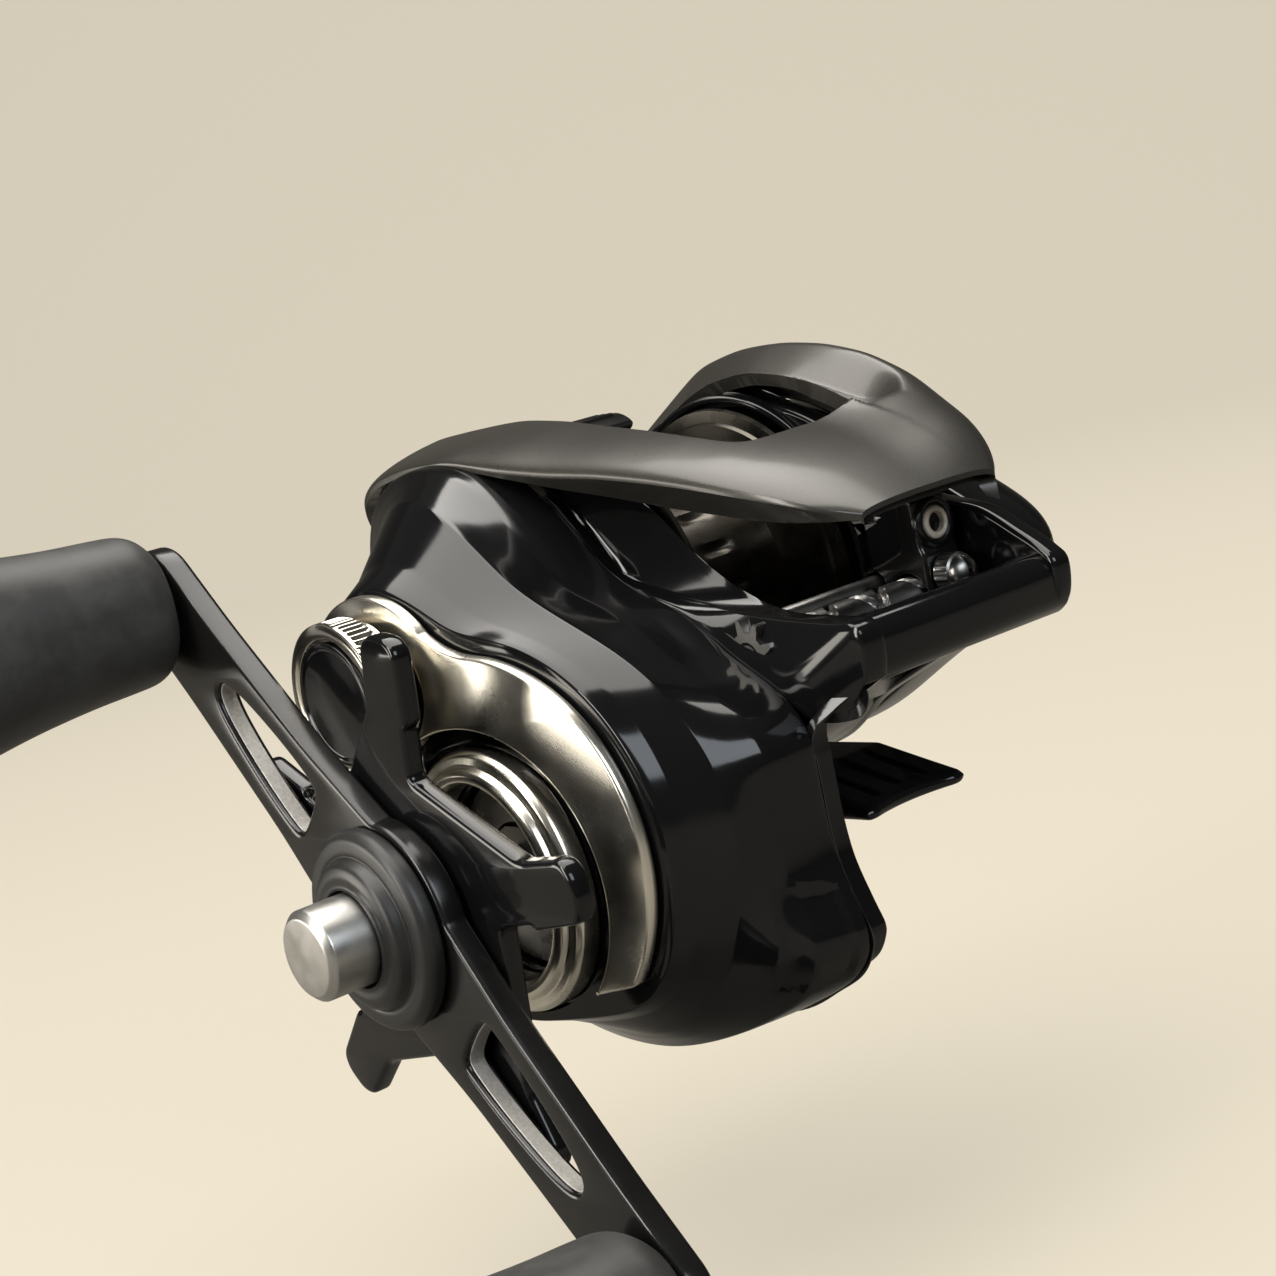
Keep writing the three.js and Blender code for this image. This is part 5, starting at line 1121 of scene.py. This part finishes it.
footForm = {
    "half": 31.0, "width": 13.0, "root": 3.9, "tip": 0.9, "shoulder": 0.62, "hollow": 15.5, "bite": 1.9,
    "grooves": (-3.25, 0, 3.25), "grooveHalf": 0.55, "grooveDepth": 0.55,
    "lipShare": 0.025, "straight": 0.955, "corner": 1.6, "cornerBite": 0.9, "edge": 0.7,
}


# a smooth closed curve through the points of each row (Catmull-Rom), with the same steps in every row
def through(points, steps):
    p = np.asarray(points, float)
    t = np.linspace(0, 1, steps, endpoint=False)[None, :, None]
    before, at, after, later = (np.roll(p, k, axis=0)[:, None] for k in (1, 0, -1, -2))
    curve = at + 0.5 * t * (after - before + t * (
        2 * before - 5 * at + 4 * after - later + t * (3 * (at - after) + later - before)))
    return curve.reshape(-1, p.shape[1])


def capFaces(points, start, flip):
    tris = tessellate_polygon([[Vector((a, b, 0)) for a, b in points]])
    return [[start + i for i in (tri[::-1] if flip else tri)] for tri in tris]


# The gear side cheek is a tray: out along the wall's edge, over the rim, and back down to its floor.
def makeCheek():
    form = frameForm

    # one of the tray's edges: its upper stretch, then the gear cover's front and the lower edge;
    # the front leans back and down as the edges come inwards
    def loop(edge, x):
        lean = form["outer"] - x
        front = [(x, y - form["lean"][0] * lean, z - form["lean"][1] * lean) for y, z in coverFront]
        upper = [p if len(p) == 3 else (x, *p) for p in edge]
        return through(upper + front + [(x, *p) for p in form["below"]], form["curveSteps"])

    # a loop drawn inwards, with nothing of it further out than x
    def drawn(rows, by, x):
        return np.column_stack([np.minimum(rows[:, 0], x), moved(rows[:, 1:], by)])

    inner, rail, outer = (loop(form[k], form[x]) for k, x in (
        ("innerEdge", "inner"), ("railEdge", "rail"), ("outerEdge", "outer")))
    sense = 1 if area(inner[:, 1:]) > 0 else -1
    rows = easedRows([
        drawn(inner, 0.7 * sense, form["inner"]), inner, rail, outer,
        drawn(outer, form["wall"] * sense, math.inf)], [0.35, 0.12, 0.2], 4)
    rows = np.concatenate([rows, drawn(outer, form["wall"] * sense, wallOuter)[None]])
    points, faces = gridSurface(rows)
    last = len(points) - rows.shape[1]
    return points, faces + capFaces(rows[0][:, 1:], 0, False) + capFaces(rows[-1][:, 1:], last, True)


# The foot is swept from end to end: each section is a flat-bottomed loop with grooves in its top
# where the foot slopes, and both ends are hollowed and end in a rounded lip.
def makeFoot():
    form = footForm
    half, wide, root = form["half"], form["width"] / 2, form["root"]
    corner, straight = form["corner"], form["straight"]
    side = np.linspace(-1, 1, 91)
    x = wide * np.sign(side) * (1 - (1 - np.abs(side)) ** 1.15)
    turn = np.linspace(0, np.pi / 2, 7)
    lip = np.sin(turn)
    shares = np.concatenate([[-1.0], -1 + form["lipShare"] * (1 - np.cos(turn[1:])),
                             np.linspace(-straight, straight, 150)])
    shares = np.concatenate([shares, -shares[6::-1]])
    tall = np.ones(len(shares))
    tall[:7], tall[-7:] = lip, lip[::-1]
    hollow = np.sqrt(form["hollow"] ** 2 - x ** 2)
    nearEdge = np.clip((np.abs(x) - wide + corner) / corner, 0, 1)
    end = half + form["hollow"] - form["bite"] - hollow - form["cornerBite"] * nearEdge ** 2
    groove = sum(np.clip(1.6 - 1.6 * (np.abs(x - line) / form["grooveHalf"]) ** 2, 0, 1)
                 for line in form["grooves"])
    edge = np.clip((np.abs(x) - wide + form["edge"]) / form["edge"], 0, 1)
    edge = np.sqrt(np.clip(1 - edge ** 2, 0, 1))
    rows = []
    for share, high in zip(shares, tall):
        y = share * end
        far = np.clip((np.abs(y) - form["shoulder"] * half) / (half * (1 - form["shoulder"])), 0, 1)
        fade = np.clip(far * 6, 0, 1) * np.clip((straight - np.abs(share)) * 40, 0, 1)
        top = root + (form["tip"] - root) * far - form["grooveDepth"] * groove * fade
        middle = top / 2
        upper = middle + (top - middle) * edge * high
        lower = middle * (1 - edge * high)
        rows.append(np.concatenate([np.stack([x, y, upper], 1), np.stack([x, y, lower], 1)[::-1]]))
    return gridSurface(rows, capped=True)


# turns a surface made with its plate along x so that the plate lies along z: (x, y, z) from (z, x, y)
def laidFlat(surface):
    points, faces = surface
    return points[:, [1, 2, 0]], faces


# Cheek, palm side plate with its opening, a lining and a shell round the spool, the floor under
# the level wind, the front bar with its rounded inner corners, and the foot.
def makeFrame():
    form = frameForm
    wallIn, ringIn, radius = form["inner"], form["ringInner"], form["cornerRadius"]
    palm = plateSurface([
        evenly(through(form["palm"], form["curveSteps"]), 420), circle(spoolAxis, ringIn, 180)],
        -wallOuter, -wallIn, 0.6, 5)
    r0, r1 = form["liningInner"], form["liningOuter"]
    lining = turnedRing([
        (-wallIn - 0.4, r0), (-wallIn + 0.7, r0), (-wallIn + 0.95, r0 + 0.25), (-wallIn + 0.95, r1),
        (-wallIn - 0.4, r1)], 0.2, 3, spoolAxis, 160)
    shell = plateSurface([evenly(np.vstack([
        arc(spoolAxis, form["ringOuter"], 176, 322, 60), arc(spoolAxis, ringIn + 0.3, 322, 176, 60)]),
        300)], -wallIn - 0.5, wallIn + 0.5, 0.2, 2)
    under = np.array(form["floor"])
    floor = plateSurface([np.vstack([under, (under + form["floorDepth"])[::-1]])],
                         -wallIn - 0.5, wallIn + 0.5, 0.1, 2)
    bar = plateSurface([softOutline(form["bar"], 0.9, 120)], -wallOuter + 0.2, wallIn + 1.2, 0.4)
    barBack = form["bar"][0][0]
    corners = []
    for side in (-1, 1):
        curve = arc((wallIn - radius, barBack - radius), radius, 90, 0, 12) * (side, 1)
        block = np.vstack([curve, np.array([
            (wallIn + 0.4, barBack - radius), (wallIn + 0.4, barBack + 0.8), (wallIn - radius, barBack + 0.8),
        ]) * (side, 1)])
        corners.append(laidFlat(plateSurface([block], *form["cornerHeight"], 0.15, 2)))
    return together(makeCheek(), palm, lining, shell, floor, bar, *corners, makeFoot())


makePiece("reelFrame", makeFrame(), "reel_body", "gloss_black", "frame", 28)
print("stage: frame")

palmForm = {
    "centre": (3, 19.5), "depth": 24.0, "columns": 300, "wall": 1.7, "back": 13.6,
    "rim": fromSpool(
        (-21.6, 0), (-20.6, 8), (-16, 13.2), (-9, 15.8), (0, 16.4), (9, 15.2), (17, 12.2), (23, 8.4),
        (28, 5.6), (33, 2.6), (35.4, -0.6), (34.6, -4.6), (31, -7.6), (25, -9.8), (19, -12.4),
        (13, -15.6), (7, -18.6), (-1, -20.2), (-10, -18.4), (-18, -11)),
    "sections": [(19.5, 0.99), (21.8, 0.93), (23.2, 0.82), (24.0, 0.66)],
    "dial": 9.4, "recess": 0.9, "bore": 3.0, "lockAxis": (26, 19.5), "lock": 3.2,
}


# Under the top cover's palm edge the rim is kept just below that edge.
def belowTopCover(rows):
    leftOut, leftZ = (np.interp(rows[..., 1], archY, archValues[k]) for k in (1, 3))
    away = np.maximum(-rows[..., 0] - wallOuter - leftOut + 1.0, 0)
    limit = spoolAxis[1] + leftZ - 0.8 + 2.0 * away
    rows[..., 2] = np.minimum(rows[..., 2], np.where(rows[..., 2] > spoolAxis[1], limit, math.inf))
    return rows


def makePalmCover():
    form = palmForm
    back, depth, dial, bore, wall = (form[k] for k in ("back", "depth", "dial", "bore", "wall"))
    reach = reachOf(form["rim"], form["centre"], form["columns"], 1.6)
    angle = stepAngles(form["columns"])
    deep = depth - form["recess"]

    def ring(radius, x):
        return rowAround(spoolAxis, radius, x, angle)

    def row(x, share, inset=0.0):
        return coverRow(reach * share, form["centre"], -x, inset)

    outside = easedRows(
        [row(back, 1, 0.4), row(back + 0.4, 1)] + [row(x, s) for x, s in form["sections"]] +
        [ring(dial + 1.2, -depth), ring(dial + 0.35, -depth), ring(dial + 0.3, -deep), ring(bore, -deep)],
        [0.4, 0.45, 0.45, 0.45, 0.3, 0.2, 0.1, 0.05])
    inside = np.array([
        ring(bore, wall - deep), ring(dial + 0.3, wall - deep), row(depth - wall, 0.66, wall),
        row(21.0, 0.93, wall), row(18.5, 0.99, wall), row(back, 1, wall), row(back, 1, 0.4)])
    return gridSurface(belowTopCover(np.concatenate([outside, inside])))


makePiece("palmSideCover", makePalmCover(), "palm_cover", "gloss_black", "palm_side_cover", 26)

dialForm = {"bites": 12, "biteDepth": 1.0, "beadCircle": 7.0, "beadTurns": range(0, 300, 30), "bore": 2.2}


# a disc with notches in its rim, a raised ring, and small beads that count its steps
def makeDial():
    form = dialForm
    back = -palmForm["depth"] + palmForm["recess"] - 0.3
    a = np.linspace(0, 2 * np.pi, 480, endpoint=False)
    bite = np.clip(1.4 * np.cos(form["bites"] * a) - 0.75, 0, 1)
    reach = palmForm["dial"] - form["biteDepth"] * bite
    outline = rowAround(spoolAxis, reach, 0, a)[:, 1:]
    face = plateSurface([outline, circle(spoolAxis, form["bore"], 48)], back - 1.1, back, 0.35)
    raised = turnedRing([(back - 1.5, 3.4), (back - 1.5, 4.4), (back - 0.7, 4.6), (back - 0.7, 3.2)],
                        0.15, 2, spoolAxis, 80)
    beads = [
        turned([(back - 1.55, 0.05), (back - 1.45, 0.42), (back - 0.7, 0.5), (back - 0.7, 0.05)], 0.1, 2,
               (form["beadCircle"] * math.cos(t), spoolAxis[1] + form["beadCircle"] * math.sin(t)), 20)
        for t in np.radians(form["beadTurns"])]
    return together(face, raised, *beads)


makePiece("brakeDial", makeDial(), "dial", "satin_black", "brake_dial")

lockForm = {"back": -17.4, "face": -22, "wingEnd": -24.2, "wingHalf": (0.9, 2.6)}


# a round boss with a thumb wing across it
def makeLockKnob():
    back, face, r, axis = lockForm["back"], lockForm["face"], palmForm["lock"], palmForm["lockAxis"]
    boss = turned([(back, 0.1), (back, r), (face + 0.5, r), (face, r - 0.5), (face, 0.1)], 0.2, 3, axis, 72)
    wing = np.array([(-1, -1), (1, -1), (1, 1), (-1, 1)]) * lockForm["wingHalf"] + axis
    return together(boss, plateSurface([softOutline(wing, 0.8, 60)], lockForm["wingEnd"], face + 0.1, 0.4))


makePiece("coverLockKnob", makeLockKnob(), "lock", "satin_black", "cover_lock_knob")
print("stage: palm side")

thumbForm = {
    "half": 10.4, "top": 39.6, "edge": 0.7,
    "side": fromSpool((-20.9, 6.6), (-19.2, 6.6), (-19, 15.4)) + [
        (-13.6, 37.4), (-13.1, 38.4), (-15, 39.5), (-18.6, 39.6), (-20.8, 38.4)],
    "ribs": (-15.0, -16.2, -17.4), "ribRadius": 0.45, "ribSunk": 0.35, "ribShort": 1.6,
}


# the thumb bar has three low ribs across its top
def makeThumbBar():
    form = thumbForm
    half = form["half"]
    body = plateSurface([softOutline(form["side"], 1.0, 160)], -half, half, form["edge"], 5)
    high, ribEnd = form["top"] - form["ribSunk"], half - form["ribShort"]
    ribs = [plateSurface([circle((y, high), form["ribRadius"], 16)], -ribEnd, ribEnd, 0.2, 3)
            for y in form["ribs"]]
    return together(body, *ribs)


makePiece("clutchBar", makeThumbBar(), "thumb_bar", "satin_black", "clutch_bar")

spoolForm = {"half": 9.5, "rim": 17.0, "hub": 9.5, "flange": 0.9, "web": 8.3,
             "holes": 14, "holeHalf": 2.2, "holeDepth": 0.55}


# Flanges with a rolled rim and a turned step, and a hub with a row of dimples round its middle.
def makeSpool():
    form = spoolForm
    half, rim, hub, thin, web = (form[k] for k in ("half", "rim", "hub", "flange", "web"))

    def dimples(x, angle):
        band = np.clip(1 - (x / form["holeHalf"]) ** 2, 0, 1)
        return -form["holeDepth"] * (band * np.clip(1.6 * np.cos(form["holes"] * angle) - 0.6, 0, 1))

    inner = [(x, hub) for x in np.linspace(-half + 3.0, half - 3.0, 29)]
    outside = [(-half, web), (-half, rim - 1.9), (-half + 0.25, rim - 1.7), (-half + 0.25, rim - 1.1),
               (-half, rim - 0.9), (-half, rim - 0.3), (-half + 0.3, rim)]
    side = [(thin - half, rim - 0.12), (thin - half + 0.12, rim - 1.3), (thin - half + 0.5, rim - 1.5),
            (thin + 0.9 - half, hub + 1.2), (thin + 1.5 - half, hub + 0.1)]
    mirrored = [(-x, r) for x, r in (outside + side)[:0:-1]]
    core = [(half, web), (1, web), (1, 3), (3, 3), (3, 1.4), (-3, 1.4), (-3, 3), (-1, 3), (-1, web)]
    return ringSurface(outside + side + inner + mirrored + core, spoolAxis, 210, dimples)


makePiece("spoolBody", makeSpool(), "spool", "aluminium", "spool", 30,
          turnedPaint("darkAnodised", (0.085, 0.078, 0.066), 0.24, tarnish=0.92))

wormForm = {
    "end": 11.2, "radius": 2.1, "journal": 1.2, "tip": 15.2, "pitch": 6.4, "groove": 0.55, "width": 0.42,
}


# The worm's two grooves cross: each is a helix, cut where the angle comes near the helix's own.
def makeWorm():
    form = wormForm
    end, start, journal, tip = form["end"] - 0.6, 0.2 - wallOuter, form["journal"], form["tip"]

    def grooves(x, angle):
        cut = 0
        for hand in (1, -1):
            off = (angle + hand * 2 * np.pi * x / form["pitch"] + np.pi) % (2 * np.pi) - np.pi
            cut = np.maximum(cut, np.clip(1.6 - (off / form["width"]) ** 2, 0, 1))
        return -form["groove"] * cut * np.clip((end - 0.8 - np.abs(x)) / 0.4, 0, 1)

    screw = [(x, form["radius"]) for x in np.linspace(-end, end, 190)]
    profile = [(start, 0.1), (start, journal), (-end, journal), *screw,
               (end, journal), (tip, journal), (tip, 0.1)]
    return latheSurface(profile, wormAxis, 72, grooves)


makePiece("wormShaft", makeWorm(), "worm", "steel", "worm_shaft")

guideForm = {
    "rest": -7.8, "half": 2.3, "eyeZ": 25.0, "eyeBack": 29.0, "eyeFront": 31.3, "front": 31.6,
    "pawlZ": 20.1, "barAxis": (24.2, 19.8), "bar": 0.9, "barHalf": 10.6, "room": 0.3,
    "side": [
        (30.2, 15.3), (31.6, 16.6), (31.6, 22.4), (31.3, 23.0), (31.3, 27.7), (29.0, 27.7), (28.6, 22.9),
        (25.6, 21.8), (22.5, 21), (22.5, 18.4), (25.8, 16.6), (27.0, 15.3)],
}


# The carriage is cut away round the two shafts, and carries the eye's raised bezel in front.
def makeLineGuide():
    form = guideForm
    rest, half, front, room = (form[k] for k in ("rest", "half", "eyeFront", "room"))
    body = plateSurface([
        softOutline(form["side"], 0.6, 200), circle(wormAxis, wormForm["radius"] + room, 48),
        circle(form["barAxis"], form["bar"] + room, 32)], rest - half, rest + half, 0.4)
    # below the eye's middle the carriage stays whole, so its bezel is what the ring shows against
    bezel = turnedRing([(front - 0.2, 1.62), (front - 0.2, 2.6), (front + 0.35, 2.45), (front + 0.55, 2.1),
                        (front + 0.45, 1.66)], 0.12, 3, (0, 0), 80)
    return together(body, facingForward(bezel, (rest, form["eyeZ"])))


def makeGuideRing():
    back, front = guideForm["eyeBack"], guideForm["eyeFront"]
    ring = turnedRing([
        (back, 1.2), (back, 1.6), (front + 0.45, 1.6), (front + 0.75, 1.25), (front + 0.6, 0.95),
        (front - 0.4, 0.9), (back + 0.5, 0.9)], 0.14, 4, (0, 0), 80)
    return facingForward(ring, (guideForm["rest"], guideForm["eyeZ"]))


# a domed cap with a slot across it and a knurled collar
def makePawlCap():
    back = guideForm["front"] + 0.2
    slotFloor = back + 3.2 - 0.9

    def knurl(x, angle):
        return -0.09 * (0.5 + 0.5 * np.cos(18 * angle)) * (x < back + 1.7) * (x > back + 0.2)

    profile = [(back, 0.05), (back, 1.8), (back + 0.15, 1.9), (back + 0.3, 1.9), (back + 1.6, 1.9),
               (back + 1.8, 1.85)]
    profile += [(back + 1.9 + 1.3 * math.sin(t), 0.03 + 1.62 * math.cos(t))
                for t in np.linspace(0.05, 1.57, 22)]
    points, faces = latheSurface(profile, (0, 0), 144, knurl)
    points[(np.abs(points[:, 1]) < 0.24) & (points[:, 0] > slotFloor), 0] = slotFloor
    return facingForward((points, faces), (guideForm["rest"], guideForm["pawlZ"]))


def makeGuideRod():
    end, r = guideForm["barHalf"], guideForm["bar"]
    return turned([(-end, 0.1), (-end, r), (end, r), (end, 0.1)], 0.15, 3, guideForm["barAxis"], 48)


# a shallow cup with a raised middle
def makeEndCap(centre):
    end = knobForm["back"] + knobForm["length"]
    return turned([
        (end - 1.9, 0.1), (end - 1.9, 4.6), (end - 0.6, 4.6), (end - 0.15, 4.1), (end - 0.15, 3.4),
        (end - 0.45, 3.1), (end - 0.45, 0.9), (end - 0.7, 0.7), (end - 0.7, 0.1)], 0.14, 3, centre, 96)


makePiece("lineGuide", makeLineGuide(), "guide", "satin_black", "line_guide")
makePiece("guideRing", makeGuideRing(), "guide", "ceramic", "guide_ring")
makePiece("pawlCap", makePawlCap(), "guide", "steel", "pawl_cap", 30)
makePiece("guideRod", makeGuideRod(), "reel_body", "steel", "guide_bar")
for side, body, sign in knobs:
    makePiece(f"knob_{side}_endCap", makeEndCap(knobAxis(sign)), body, "satin_black", f"knob_cap_{side}")
print("stage: spool, level wind and small pieces")
